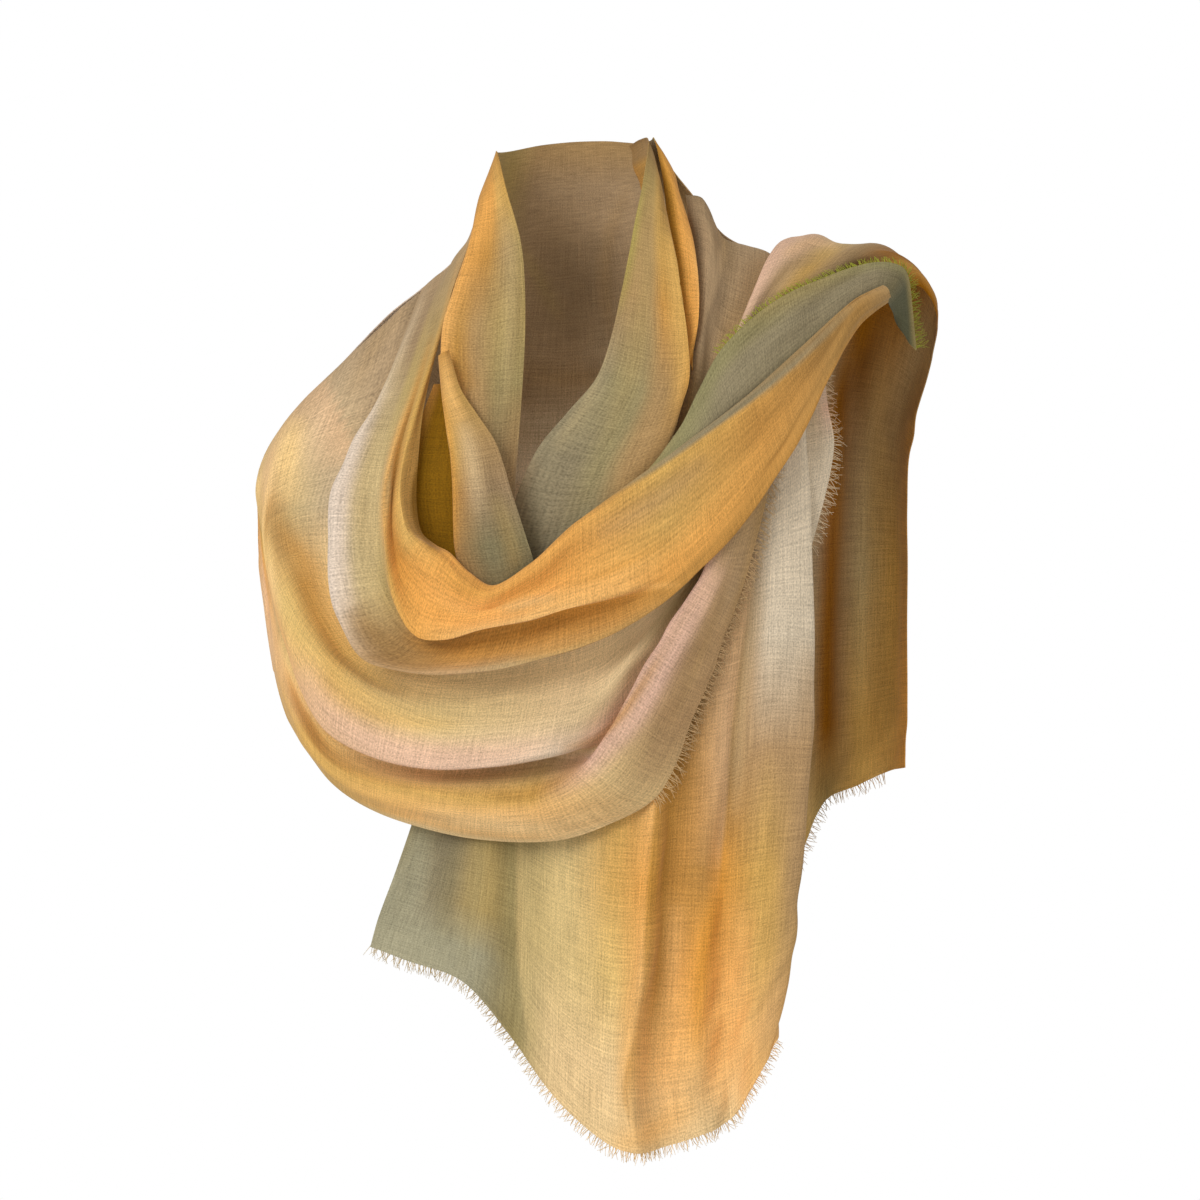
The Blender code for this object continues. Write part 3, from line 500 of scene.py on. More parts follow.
# ----------------------------------------------------------------------------- the back
BACK_PLACES = (
    ("left_side", LIMB, 0.7),
    ("left_blade", BACK, 1.0),
    ("left_mid", BACK, 1.0),
    ("spine", BACK, 1.0),
    ("right_mid", BACK, 1.0),
    ("right_blade", BACK, 1.0),
    ("right_side", LIMB, 0.7),
)
BACK_FOLDS = (
    ("neck_edge", 7, (
        (53, 102), (44, 113), (24, 116), (0, 116), (-24, 113), (-42, 108), (-50, 93),
    )),
    ("collar", 12, ((66, 80), (53, 82), (29, 79), (0, 78), (-29, 75), (-49, 70), (-60, 60))),
    ("yoke", 5, ((78, 65), (66, 36), (38, 24), (0, 20), (-36, 16), (-62, 14), (-72, 28))),
    ("fold_1", 16, ((98, 39), (84, -2), (46, -30), (0, -42), (-50, -40), (-88, -30), (-96, 5))),
    ("valley_1", 4, (
        (109, 32), (94, -20), (52, -58), (0, -74), (-56, -74), (-100, -62), (-120, -14),
    )),
    ("fold_2", 18, (
        (118, 29), (104, -44), (58, -96), (0, -118), (-64, -116), (-116, -98), (-152, -47),
    )),
    ("valley_2", 5, (
        (125, 27.5), (112, -64), (62, -128), (0, -152), (-70, -150), (-128, -128), (-184, -80),
    )),
    ("fold_3", 19, (
        (132, 24), (118, -92), (66, -172), (0, -200), (-76, -196), (-138, -172), (-205, -114),
    )),
    ("valley_3", 6, (
        (137, 21), (124, -114), (70, -204), (0, -236), (-80, -230), (-144, -204), (-206.5, -150),
    )),
    ("fold_4", 18, (
        (141, 18), (128, -136), (72, -238), (0, -274), (-82, -266), (-148, -238), (-205, -186),
    )),
    ("edge", 9, (
        (144, 15), (130, -150), (74, -258), (0, -296), (-84, -288), (-150, -258), (-199, -226),
    )),
)


# --------------------------------------------------------------- the figure and the curves
def figure_at(height):
    """Half widths and depths of the figure at a height, by name."""
    table = np.array(FIGURE, float)
    return {
        name: np.interp(height, table[:, 0], table[:, k]) for k, name in enumerate(FIGURE_COLUMNS)
    }


def depth_on_figure(x, z, lift, facing):
    """The depth of a point that stands lift off the figure's front or back."""
    size = figure_at(z)
    side = size["left_side" if x > 0 else "right_side"] + lift
    depth = size["front" if facing == FRONT else "back"] + lift
    share = min(abs(x) / side, 1.0) ** ROUNDNESS
    y = depth * (1.0 - share) ** (1.0 / ROUNDNESS)
    return -y if facing == FRONT else y


def in_place(x, y, z):
    """The point at the depth y that shows at x and z."""
    scale = (EYE_DISTANCE + y) / (EYE_DISTANCE - CHEST_DEPTH)
    return (EYE_ACROSS + (x - EYE_ACROSS) * scale, y, EYE_UP + (z - EYE_UP) * scale)


def knots(folds, places):
    """A table's points, as an array of fold lines, places and coordinates. A place on the limb
    holds its depth, and any other holds how much of the lift the folds have there. A third
    value in a cell is that cell's own depth or lift."""
    made = []
    for _, lift, cells in folds:
        line = []
        for cell, (_, facing, share) in zip(cells, places, strict=True):
            x, z = cell[:2]
            if facing == LIMB:
                y = cell[2] if len(cell) == 3 else share
            else:
                y = depth_on_figure(x, z, cell[2] if len(cell) == 3 else lift * share, facing)
            line.append((x, y, z) if facing == BACK else in_place(x, y, z))
        made.append(line)
    return np.array(made, float)


def curve_point(p0, p1, p2, p3, share):
    """A point of the centripetal Catmull-Rom curve from p1 to p2."""
    t0 = np.zeros(p0.shape[:-1] + (1,))
    t = [t0]
    for a, b in ((p0, p1), (p1, p2), (p2, p3)):
        chord = np.linalg.norm(b - a, axis=-1, keepdims=True)
        t.append(t[-1] + np.sqrt(np.maximum(chord, LEAST)))
    at = t[1] + share * (t[2] - t[1])

    def mix(a, b, low, high):
        return ((high - at) * a + (at - low) * b) / (high - low)

    a1 = mix(p0, p1, t[0], t[1])
    a2 = mix(p1, p2, t[1], t[2])
    a3 = mix(p2, p3, t[2], t[3])
    return mix(mix(a1, a2, t[0], t[2]), mix(a2, a3, t[1], t[3]), t[1], t[2])


def beyond(end, inner, square):
    """The point past a curve's end: straight on, or so that the curve meets y = 0 square."""
    made = inner.copy() if square else 2 * end - inner
    made[..., 1] = 2 * end[..., 1] - inner[..., 1]
    return made


def curved(points, axis, steps, square=(False, False)):
    """Curves through the points along one axis, with steps sections to an interval."""
    p = np.moveaxis(points, axis, 0)
    p = np.concatenate([beyond(p[:1], p[1:2], square[0]), p, beyond(p[-1:], p[-2:-1], square[1])])
    made = [
        curve_point(p[i - 1], p[i], p[i + 1], p[i + 2], k / steps)
        for i in range(1, len(p) - 2)
        for k in range(steps)
    ]
    return np.moveaxis(np.array(made + [p[-2]]), 0, axis)


def on_seam(places):
    """Whether a table's first and last places lie on the seam at the limb."""
    return [
        facing == LIMB and abs(depth) < SEAM_PLANE for _, facing, depth in (places[0], places[-1])
    ]


def draped(folds, places):
    """The smooth grid of points of a stretch of cloth."""
    return curved(curved(knots(folds, places), 1, ALONG, on_seam(places)), 0, ACROSS)


def unit(vectors):
    """The vectors, each drawn to a length of one."""
    return vectors / np.maximum(np.linalg.norm(vectors, axis=-1, keepdims=True), TINY)


def facing_out(grid):
    """Unit normals of a grid, level with the seam's plane where a place of it lies in the plane."""
    n = np.cross(np.gradient(grid, axis=0), np.gradient(grid, axis=1))
    n[:, np.abs(grid[..., 1]).max(axis=0) < SEAM_PLANE, 1] = 0.0
    return unit(n)


def away_from_figure(p):
    """The direction away from the figure: forward on the front, square to its outline at the
    limb and backward behind."""
    x, y, z = p
    side = "left_side" if x > 0 else "right_side"
    slope = (figure_at(z + WALL)[side] - figure_at(z - WALL)[side]) / (2 * WALL)
    limb = Vector((1.0 if x > 0 else -1.0, 0.0, -slope)).normalized()
    level = min(max(y / LIMB_BLEND, -1.0), 1.0)
    return (limb * (1.0 - abs(level)) + Vector((0.0, level, 0.0))).normalized()


def widened(values, cells):
    """The largest of the values within a few cells of each."""
    padded = np.pad(values, cells)
    rows, places = values.shape
    steps = range(2 * cells + 1)
    return np.max([padded[i : i + rows, j : j + places] for i in steps for j in steps], axis=0)


def halved(grid, axis):
    """The grid with points half way between its points along an axis."""
    g = np.moveaxis(grid, axis, 0)
    made = np.empty((2 * len(g) - 1,) + g.shape[1:])
    made[::2] = g
    made[1::2] = (g[1:] + g[:-1]) / 2
    return np.moveaxis(made, 0, axis)


def surface_tree(grid):
    """A grid's surface, for finding where a ray meets it."""
    rows, places = grid.shape[:2]
    quads = [
        (i * places + j, (i + 1) * places + j, (i + 1) * places + j + 1, i * places + j + 1)
        for i in range(rows - 1)
        for j in range(places - 1)
    ]
    return BVHTree.FromPolygons([Vector(p) for p in grid.reshape(-1, 3)], quads)


def needed_push(p, away, trees, clearance):
    """How far a point has to go to lie a clearance outside the surfaces."""
    push = 0.0
    start = Vector(p) + away * REACH
    for tree in trees:
        hit, normal, _, distance = tree.ray_cast(start, -away, REACH + PAST * clearance)
        if hit is not None:
            push = max(push, REACH - distance + clearance / max(abs(normal.dot(away)), STEEPEST))
        near, _, _, distance = tree.find_nearest(Vector(p), clearance)
        if near is not None:
            push = max(push, clearance - distance)
    return push


def pushed(grid, push):
    """The grid, with each point moved so far away from the figure."""
    made = grid.copy()
    for i, j in zip(*np.nonzero(push > 0)):
        made[i, j] += np.array(away_from_figure(made[i, j])) * push[i, j]
    return made


def laid_over(grid, under, clearance, chosen):
    """The grid, pushed outward where its chosen columns would cut into, or lie inside, the
    stretches under it."""
    trees = [surface_tree(other) for other in under]
    made = grid
    for _ in range(ROUNDS):
        fine = halved(halved(made, 0), 1)
        push = np.zeros(fine.shape[:2])
        for i in range(fine.shape[0]):
            for j in range(fine.shape[1]):
                if chosen[j // 2]:
                    p = fine[i, j]
                    push[i, j] = needed_push(p, away_from_figure(p), trees, clearance)
        needed = widened(push, 1)[::2, ::2]
        if needed.max() < NEAR_ENOUGH:
            break
        made = pushed(made, needed)
    return made


# ---------------------------------------------------------------- what is laid over what
# A stretch, the stretches under it, the space between the middles of two solid walls, and the
# places from and to which it lies on them.
LAST = 99  # more places than any stretch has
LAID = (
    ("neck_fold", ("shoulder_fold",), CLEAR, 1, LAST),
    ("neck_drape", ("neck_fold",), CLEAR, 2, LAST),
    ("front_panel", ("panel_return",), CLEAR, 0, LAST),
    ("throat_drape", ("neck_drape",), CLEAR, 0, LAST),
    ("throat_tongue", ("throat_drape", "swag_pocket", "neck_drape"), 2 * WALL, 0, LAST),
    ("back_tail", ("shoulder_fold",), CLEAR, 0, 2),
    ("back_tail", ("back_panel",), CLEAR, 2, LAST),
    ("shoulder_band", (
        "neck_drape", "neck_fold", "shoulder_fold", "back_tail", "front_panel", "throat_tongue",
    ), CLEAR, 0, BAND_TURN),
    ("swag", ("front_panel", "panel_return"), CLEAR, 0, LAST),
    ("swag_rim", ("swag_pocket", "swag", "neck_drape", "front_panel"), CLEAR, 0.5, LAST),
    ("swag_rim", ("shoulder_band", "throat_tongue", "throat_drape"), CLEAR, 2, LAST),
)

# ------------------------------------------------------------------------- the stretches
SLOTS = ("orange", "olive", "taupe", "beige", "grey_green")  # as the record names them

# The fold lines and places of each stretch, its cell in the fine mesh, the record's slot that
# its finish comes from, and its flat size: across the folds and along them.
STRETCHES = (
    ("back_panel", BACK_FOLDS, BACK_PLACES, 2.6, "olive", (375, 385)),
    ("shoulder_fold", SHOULDER_FOLDS, SHOULDER_PLACES, 1.8, "taupe", (70, 150)),
    ("neck_fold", GOLD_FOLDS, GOLD_PLACES, 1.8, "orange", (27, 165)),
    ("neck_drape", NECK_FOLDS, NECK_PLACES, 1.8, "olive", (65, 350)),
    ("front_panel", PANEL_FOLDS, PANEL_PLACES, 2.1, "orange", (300, 340)),
    ("panel_return", RETURN_FOLDS, RETURN_PLACES, 1.8, "beige", (27, 125)),
    ("throat_drape", THROAT_FOLDS, THROAT_PLACES, 1.8, "orange", (50, 310)),
    ("throat_tongue", TONGUE_FOLDS, TONGUE_PLACES, 1.8, "beige", (42, 185)),
    ("swag_pocket", POCKET_FOLDS, POCKET_PLACES, 1.8, "orange", (31, 144)),
    ("swag_rim", RIM_FOLDS, RIM_PLACES, 1.9, "orange", (80, 710)),
    ("swag", SWAG_FOLDS, SWAG_PLACES, 2.1, "beige", (155, 560)),
    ("shoulder_band", BAND_FOLDS, BAND_PLACES, 1.8, "grey_green", (33, 293)),
    ("back_tail", TAIL_FOLDS, TAIL_PLACES, 2.4, "taupe", (140, 560)),
)

SHEET_WALL = 0.7  # the shells' wall
SHARP_ANGLE = 60  # degrees, from which a shell's edge is drawn sharp
SHEET_CLEAR = 1.1  # between the middles of two shells
FINE_ROUNDS = 2  # of pushing one shell clear of others
SOFTEN = 2  # how many cells a fine push is spread over
SEAM_LAP = 1.4  # how far the back's cloth runs on past the seam at the limb

# ---------------------------------------------------------------------------- the dyes
DYES = {
    "orange": 0xE3A657,
    "amber": 0xCF9647,
    "clay": 0xBC8A45,
    "mustard": 0xA97A26,
    "bronze": 0x9C7A4C,
    "apricot": 0xE8B673,
    "gold": 0xD3A961,
    "honey": 0xC8A058,
    "yellow": 0xDFC07C,
    "straw": 0xD5BC84,
    "sand": 0xD0B382,
    "biscuit": 0xDBC095,
    "khaki": 0xBDA87A,
    "reed": 0xC2AD80,
    "oat": 0xD6C7B0,
    "pearl": 0xDDCCBC,
    "beige": 0xC7B294,
    "rose": 0xDFB9A0,
    "blush": 0xE4BFA6,
    "peach": 0xE0B88E,
    "umber": 0xA98A5E,
    "taupe": 0xAD9372,
    "dusk": 0x957E60,
    "olive": 0xAC9560,
    "moss": 0x9A8B5E,
    "fern": 0x938C64,
    "sage": 0x968A64,
    "stone": 0xA39E84,
    "lichen": 0x90856A,
    "lime": 0xA4A83C,
    "bark": 0x7C7457,
    "shadow": 0x7A6750,
    "flame": 0xDB983E,
    # a light orange, also laid as a painted highlight on the rim's ridges
    "flare": 0xEFB76C,
    "russet": 0xB98238,
    # painted shade: the dark inside the pocket's hollow
    "deep": 0x856010,
    "shell": 0xD6B09C,
    "tan": 0xB5946C,
    "ochre": 0xC4914C,
    "ember": 0x9A6204,
    # painted light: a pale gold laid where the cloth lies in shade, and on a raised fold
    "sun": 0xEDCA8C,
    "cream": 0xE6C896,
    "tawny": 0xB1884E,
    # painted shadow: the band's turned end where it lies in shade behind the shoulder
    "slate": 0x5E5E48,
}
# The dye of each fold line, from its first place to its last. Some dyes are painted light:
# darker ones in creases, turned-under and inner fold lines are painted shade, and lighter ones in
# hollows and under the rim are painted light against their shade.
DYED = {
    "back_panel": (
        "olive umber umber umber umber olive olive", "olive taupe taupe taupe taupe olive olive",
        "umber taupe taupe dusk taupe taupe umber", "taupe beige beige taupe taupe taupe taupe",
        "taupe beige oat beige taupe taupe taupe", "beige oat oat oat beige beige taupe",
        "beige beige oat oat beige khaki peach", "khaki khaki beige beige khaki khaki yellow",
        "khaki khaki khaki khaki khaki honey gold", "honey honey straw straw honey gold orange",
        "honey gold gold gold gold orange orange",
    ),
    "shoulder_fold": (
        "dusk", "dusk taupe taupe umber", "umber dusk taupe dusk", "taupe taupe umber umber",
        "taupe umber taupe", "umber taupe taupe",
    ),
    "neck_fold": (
        # painted shadow: the inside fold line is darker where the fold shades it
        "clay mustard mustard", "amber orange orange amber clay",
        "amber orange apricot orange amber", "clay clay amber clay",
    ),
    "neck_drape": (
        "bronze bronze olive olive umber lichen lichen lichen",
        "bronze umber olive umber umber sage lichen lichen",
        "bronze umber olive umber umber sage sage lichen",
        "clay honey honey honey clay umber umber moss",
        "clay honey gold gold honey clay umber umber",
        "clay amber amber clay clay bronze umber umber",
    ),
    "front_panel": (
        "fern fern fern sage stone stone stone", "fern fern lichen lichen lichen stone stone",
        "moss moss sage olive olive stone stone", "moss moss fern moss moss sage moss",
        "honey khaki khaki straw straw cream cream", "umber honey gold gold yellow cream cream",
        "umber honey apricot orange apricot apricot cream",
        "umber bronze clay clay ochre apricot cream", "umber umber clay clay orange apricot cream",
        "bronze bronze bronze amber orange apricot cream", "oat oat tan honey gold apricot apricot",
        "oat oat tan umber gold apricot apricot", "taupe umber umber clay amber amber",
    ),
    "panel_return": ("oat", "beige beige oat oat", "oat rose oat oat oat"),
    "throat_drape": (
        "clay honey olive olive moss dusk dusk", "clay gold umber olive moss dusk dusk",
        "clay orange clay umber umber umber umber", "clay ochre orange apricot orange orange amber",
        "clay amber amber amber clay",
    ),
    "throat_tongue": (
        "clay honey umber dusk bark bark bark", "clay honey umber dusk bark bark bark",
        "ochre ochre honey clay bronze bronze bronze", "mustard",
    ),
    # painted shade: the pocket is dyed dark where it lies in shade
    "swag_pocket": ("clay deep deep deep", "deep", "deep"),
    "swag_rim": (
        "taupe honey gold gold orange orange amber honey ochre tawny tawny umber",
        "taupe honey gold gold orange orange orange honey ochre tawny tawny umber",
        "taupe olive gold amber orange orange orange gold ochre tawny tawny umber",
        "taupe olive khaki honey orange apricot apricot orange ochre tawny tawny umber",
        # painted shadow: this fold line runs brown where the orange ridge above shades it
        "taupe olive reed olive bronze clay amber orange ochre tawny tawny umber",
        "taupe dusk reed reed bronze ochre ochre ochre ochre tawny tawny umber",
        "taupe beige pearl pearl tan tan khaki ochre ochre ochre clay umber",
        "taupe taupe beige beige tan umber umber ochre ochre clay clay umber",
    ),
    "swag": (
        # The first fold lines lie partly under the rim: their lighter dyes are painted light
        # against its shadow.
        "taupe taupe beige sun sun biscuit biscuit biscuit biscuit biscuit khaki khaki",
        "taupe beige khaki clay gold straw biscuit biscuit biscuit khaki khaki olive",
        "taupe peach sun yellow gold straw biscuit biscuit biscuit khaki khaki olive",
        "khaki sun honey apricot peach blush oat rose rose rose rose umber",
        # These two fold lines lie in the hollow under the pink edge: their lighter dyes are painted
        # light against its shade.
        "honey honey honey yellow yellow cream biscuit biscuit biscuit umber umber umber",
        "amber orange orange yellow yellow cream khaki shell shell shell shell umber",
        "orange peach peach gold gold gold honey shell shell shell shell umber",
        "orange peach peach gold gold apricot apricot sand tan tan tan taupe",
        "orange orange gold gold honey apricot apricot sand tan tan taupe umber",
        "orange orange gold honey honey cream cream sand tan tan umber umber",
    ),
    # The band's last places are painted shadow, dark where its turned end lies in shade behind the
    # shoulder.
    "shoulder_band": (
        "umber lichen lichen lichen lichen lichen lichen bark slate slate",
        "umber lichen lichen lichen lichen lichen lichen bark slate slate",
        "olive fern fern lichen lichen lichen lichen bark slate slate",
        "olive moss fern fern moss moss fern fern moss moss",
    ),
    "back_tail": (
        "umber umber taupe umber umber olive olive moss",
        "taupe rose rose taupe taupe khaki khaki khaki",
        "taupe taupe rose beige oat oat beige khaki",
        "gold honey khaki khaki beige khaki khaki honey",
        "umber umber taupe ember ember ember ember olive",
        "ember ember ember ember umber khaki honey honey",
        "clay clay clay umber umber honey honey gold",
        "bronze ember ember umber clay clay amber amber",
    ),
}

# --------------------------------------------------------------------------- the creases, painted shade and painted highlights
# Lines along which a stretch is creased or its dye runs darker or lighter, for those seen from
# the front and those seen from behind. Much of that darker and lighter dye is painted light:
# painted shade along troughs, in hollows and under edges, painted highlights along lit ridges,
# and lighter dye where the cloth lies in shade. Each has its half width, its height, which is
# below zero for a trough, its dye and how much of it, and its points: x and z, as in the tables.
# One whose dye is only on one side of it says which.
BOTH, LEFT, RIGHT, ABOVE, BELOW = (0, 0), (-1, 0), (1, 0), (0, 1), (0, -1)
FRONT_LINES = {
    "front_panel": (
        # painted shade in the left valley
        (9, -3, "bark", 0.5, ((-74, -340), (-79, -372), (-84, -404), (-82, -430))),
        (9, 2.5, "stone", 0.8, ((-100, -345), (-104, -385), (-114, -424))),
        (5, 1.5, "sage", 0.4, ((-58, -350), (-64, -400), (-72, -446))),
        (9, 0, "moss", 0.6, ((-35, -330), (-36, -390), (-37, -440), (-30, -490)), LEFT),
        (4, -1.4, "moss", 0, ((-38, -350), (-38, -400), (-38, -455))),
        (14, 0, "straw", 0.8, ((-37, -330), (-37, -390), (-36, -440), (-28, -500)), RIGHT),
        (12, 2, "straw", 0.3, ((-12, -350), (-8, -420), (-6, -500))),
        (9, -1.6, "sand", 0.2, ((14, -350), (10, -410), (12, -470), (6, -540))),
        (8, 2.6, "ochre", 0.4, ((44, -320), (38, -380), (37, -440), (34, -490))),
        # painted shade in the valley right of the crest
        (10, 0, "mustard", 0.6, (
            (60, -270), (55, -330), (50, -380), (47, -430), (46, -476),
        ), RIGHT),
        (6, -3, "mustard", 0, ((58, -290), (54, -360), (51, -420), (48, -470))),
        # painted shadow of the rounded fold low on the crest
        (8, -1.5, "clay", 0.5, ((45, -460), (41, -486), (35, -510), (33, -530), (40, -552)), RIGHT),
        (6, -1.5, "flame", 0.85, ((98, -362), (94, -396), (87, -430), (83, -468), (82, -500))),
        # painted light: a lighter dye that offsets the shade in the recess beside the crease
        (18, 0, "peach", 0.75, (
            (124, -165), (115, -210), (108, -255), (103, -300), (101, -335), (97, -380),
        ), LEFT),
        (6, 2.8, "biscuit", 0.35, ((124, -190), (115, -240), (110, -290), (107, -345))),
        (7, -3.2, "bronze", 0, ((110, -200), (103, -250), (97, -300), (94, -350))),
        (7, 1.2, "apricot", 0.6, ((68, -400), (66, -440), (63, -486))),
        (9, 0, "flare", 0.6, ((103, -430), (101, -470), (96, -520))),
        (10, 0, "flare", 0.6, ((26, -562), (52, -552), (80, -530))),
        (9, 1.6, "apricot", 0.5, ((112, -400), (112, -450), (104, -500), (92, -535))),
        (5, -1.3, "gold", 0.3, ((128, -300), (126, -360), (122, -420), (118, -470))),
        (7, 1.4, "oat", 0.4, ((138, -140), (140, -180), (139, -220))),
        (9, 0, "tan", 0.7, ((156, -230), (155, -300), (148, -370), (142, -430), (126, -500))),
    ),
    "swag": (
        # painted light: lighter where light shows through a single layer of the sheer cloth
        (26, 0, "peach", 0.7, (
            (-164, -50), (-158, -66), (-151, -84), (-144, -100), (-140, -110),
        ), LEFT),
        (20, 0, "sand", 0.25, (
            (-164, -50), (-158, -66), (-151, -84), (-144, -100), (-140, -110),
        ), RIGHT),
        (4.5, -3, "dusk", 0.7, ((-96, 10), (-103, -5), (-107, -22))),
        (6, 2, "taupe", 0.3, ((-104, 2), (-116, -16), (-132, -46))),
        (6, -2, "umber", 0.4, ((-112, -6), (-130, -34), (-146, -70))),
        # painted highlight on a raised fold of the swag's left lobe
        (11, 2, "sun", 0.9, ((-180, -80), (-188, -108), (-188, -140))),
        # painted shade in the valley left of the rim's pale edge
        (8, -2, "clay", 0.6, ((-196, -130), (-192, -156), (-178, -176), (-166, -190))),
        (6, -2.5, "mustard", 0, ((-166, -190), (-160, -210), (-150, -230), (-134, -245))),
        (8, 2, "yellow", 0.35, ((-188, -170), (-180, -208), (-164, -238), (-138, -256))),
        # painted light against the shadow that the rim casts on the swag
        (7, 0, "sun", 0.9, ((-130, -238), (-112, -250), (-92, -256), (-72, -257))),
        (4, -1.2, "honey", 0.3, ((-158, -236), (-140, -250), (-116, -259), (-88, -262))),
        (3.5, 1, "straw", 0.4, ((-152, -248), (-128, -262), (-96, -270), (-60, -272))),
        (5, -1.2, "gold", 0.5, ((-168, -250), (-146, -270), (-112, -282), (-70, -284))),
        # painted light against the rim's shadow on the swag
        (12, 0, "cream", 0.6, ((-120, -256), (-80, -256), (-40, -252), (0, -244), (40, -224))),
        (9, 1.2, "biscuit", 0.5, ((-80, -288), (-44, -289), (-8, -282), (16, -270))),
        (10, 0, "rose", 0.8, (
            (-178, -244), (-166, -270), (-142, -290), (-108, -302), (-70, -305), (-36, -302),
            (0, -294),
        )),
        (6, 0, "peach", 0.6, ((-200, -176), (-198, -214), (-190, -252), (-178, -284))),
        # painted shadow along the pink strip's left edge
        (3, 0, "clay", 0.7, ((58, -240), (46, -258), (32, -278), (16, -293), (-6, -300))),
        # painted shadow under the pink edge
        (9, 0, "dusk", 0.35, ((-84, -316), (-60, -313), (-36, -308), (0, -300), (20, -290)), BELOW),
        # painted shade under the pink edge, lower down
        (6, -1, "clay", 0.5, ((-60, -330), (-30, -330), (-8, -320), (10, -306))),
        # painted light on the bottom fold, against the shade where it turns under
        (8, 1.4, "cream", 0.7, ((-100, -343), (-56, -350), (-14, -352), (22, -344))),
        (5, -1.2, "gold", 0.4, ((-150, -314), (-118, -330), (-80, -337), (-50, -338))),
        (6.5, 1.8, "shell", 0.9, (
            (18, -304), (36, -288), (52, -264), (66, -238), (82, -210), (100, -180),
        )),
        (18, 0, "tan", 0.75, (
            (40, -318), (56, -290), (66, -262), (80, -230), (91, -205), (103, -178), (114, -150),
        ), RIGHT),
        (3, -0.8, "umber", 0.4, ((62, -288), (76, -258), (90, -222), (102, -192))),
    ),
    "swag_rim": (
        (2.5, 0.7, "orange", 0.7, (
            (-92, -30), (-104, -66), (-116, -98), (-123, -128), (-123, -156), (-117, -186),
            (-110, -216),
        )),
        (8, 1.2, "pearl", 0.95, (
            (-122, -58), (-138, -88), (-151, -122), (-155, -160), (-153, -190), (-148, -212),
        )),
        (7, -1, "reed", 0.85, ((-110, -44), (-126, -90), (-133, -130), (-134, -170), (-128, -200))),
        # painted shade where the pale fold meets the orange one
        (9, -1.2, "bronze", 0.75, ((-146, -206), (-134, -222), (-114, -234), (-88, -242))),
        # painted shadow: a dark brown band under the orange ridge
        (5, -1.2, "russet", 0.6, (
            (-110, -222), (-98, -232), (-70, -232), (-36, -224), (0, -213), (34, -203), (64, -190),
        )),
        (6, 0.6, "ochre", 0.7, ((-40, -240), (-10, -234), (24, -222), (60, -200))),
        # painted highlight along the orange ridge
        (5, 1.6, "flare", 0.7, (
            (-96, -190), (-76, -206), (-44, -205), (-12, -199), (22, -187), (48, -174),
        )),
        # painted highlight on a second thin ridge
        (2.5, 0.8, "flare", 0.7, ((-4, -203), (26, -198), (52, -193), (70, -192))),
        # painted shade below that ridge
        (3, -0.8, "amber", 0.6, ((-8, -194), (18, -186), (44, -172), (66, -158))),
        (3, 0, "khaki", 0.5, ((-48, -209), (-30, -204), (-12, -200))),
        (8, -1, "tan", 0.5, ((14, -160), (40, -146), (66, -128), (90, -108))),
        (4, 1, "honey", 0.3, ((0, -156), (40, -132), (80, -103), (120, -70), (150, -40))),
        (5, -1.4, "amber", 0.5, ((-84, -180), (-70, -194), (-48, -198))),
        (4, 1, "orange", 0.5, ((-104, -166), (-96, -186), (-82, -200))),
        (6, 0, "clay", 0.45, ((54, -204), (84, -184), (110, -152), (134, -118))),
        (5, 0.9, "orange", 0.3, ((70, -160), (100, -130), (130, -92), (156, -54))),
        (10, 0, "lichen", 1, (
            (20, -137), (53, -118), (87, -94), (128, -64), (155, -41), (186, -10),
        ), ABOVE),
        # painted shade: the dark of the pocket beside the rim
        (8, 0, "deep", 0.9, (
            (-90, -70), (-98, -100), (-106, -130), (-104, -152), (-91, -173),
        ), RIGHT),
    ),
    "throat_drape": (
        # painted shade in the dark orange hollow beside the roll
        (7, -3, "mustard", 0.6, ((-70, 4), (-75, -24), (-75, -46), (-68, -66))),
        (5, 1, "orange", 0.5, ((-56, 70), (-63, 36), (-76, 0), (-86, -34), (-84, -58))),
        (6, -1, "olive", 0.3, ((-47, 60), (-50, 20), (-56, -20), (-58, -60))),
        (5, 1, "khaki", 0.5, ((-42, 50), (-40, 10), (-42, -40), (-48, -90))),
        (12, 0, "bronze", 0.5, ((-30, -60), (-36, -100), (-40, -140)), LEFT),
    ),
    "throat_tongue": (
        (5, 1, "apricot", 0.6, ((-84, -40), (-80, -66), (-72, -86))),
        (6, 0.8, "biscuit", 0.5, ((-72, -84), (-66, -112), (-60, -146))),
        (2.5, 0.4, "amber", 0.7, ((-86, -70), (-80, -104), (-79, -140), (-77, -172))),
        (6, -1, "olive", 0.5, ((-52, -130), (-42, -160), (-36, -186))),
    ),
    "swag_pocket": (
        # painted shade deep in the pocket
        (12, -1.5, "deep", 0.9, ((-84, -96), (-86, -130), (-88, -165), (-84, -190))),
    ),
    "neck_drape": (
        (5, 0, "lime", 0.3, ((44, 74), (40, 44), (34, 12), (28, -14))),
        (8, 0, "bronze", 0.8, ((58, 112), (62, 84), (63, 60), (62, 36))),
        (7, -1.6, "olive", 0.4, ((52, 72), (50, 40), (48, 0), (40, -50), (20, -100))),
        (6, 1.6, "gold", 0.6, ((58, 64), (62, 30), (68, -10), (71, -50), (66, -84))),
        (8, -1.4, "umber", 0.5, ((54, -40), (56, -76), (46, -108), (28, -134))),
        (5, 1.2, "khaki", 0.3, ((24, -30), (10, -70), (-12, -104))),
        (6, -1.5, "bronze", 0.6, ((68, -70), (58, -100), (42, -120), (20, -140))),
        (6, 0, "dusk", 0.6, ((-26, -108), (-34, -130), (-34, -160))),
    ),
    "neck_fold": (
        # painted shadow on the fold's inside
        (4, -1.5, "mustard", 0.9, ((53, 98), (61, 74), (65, 44), (70, 8), (72, -20))),
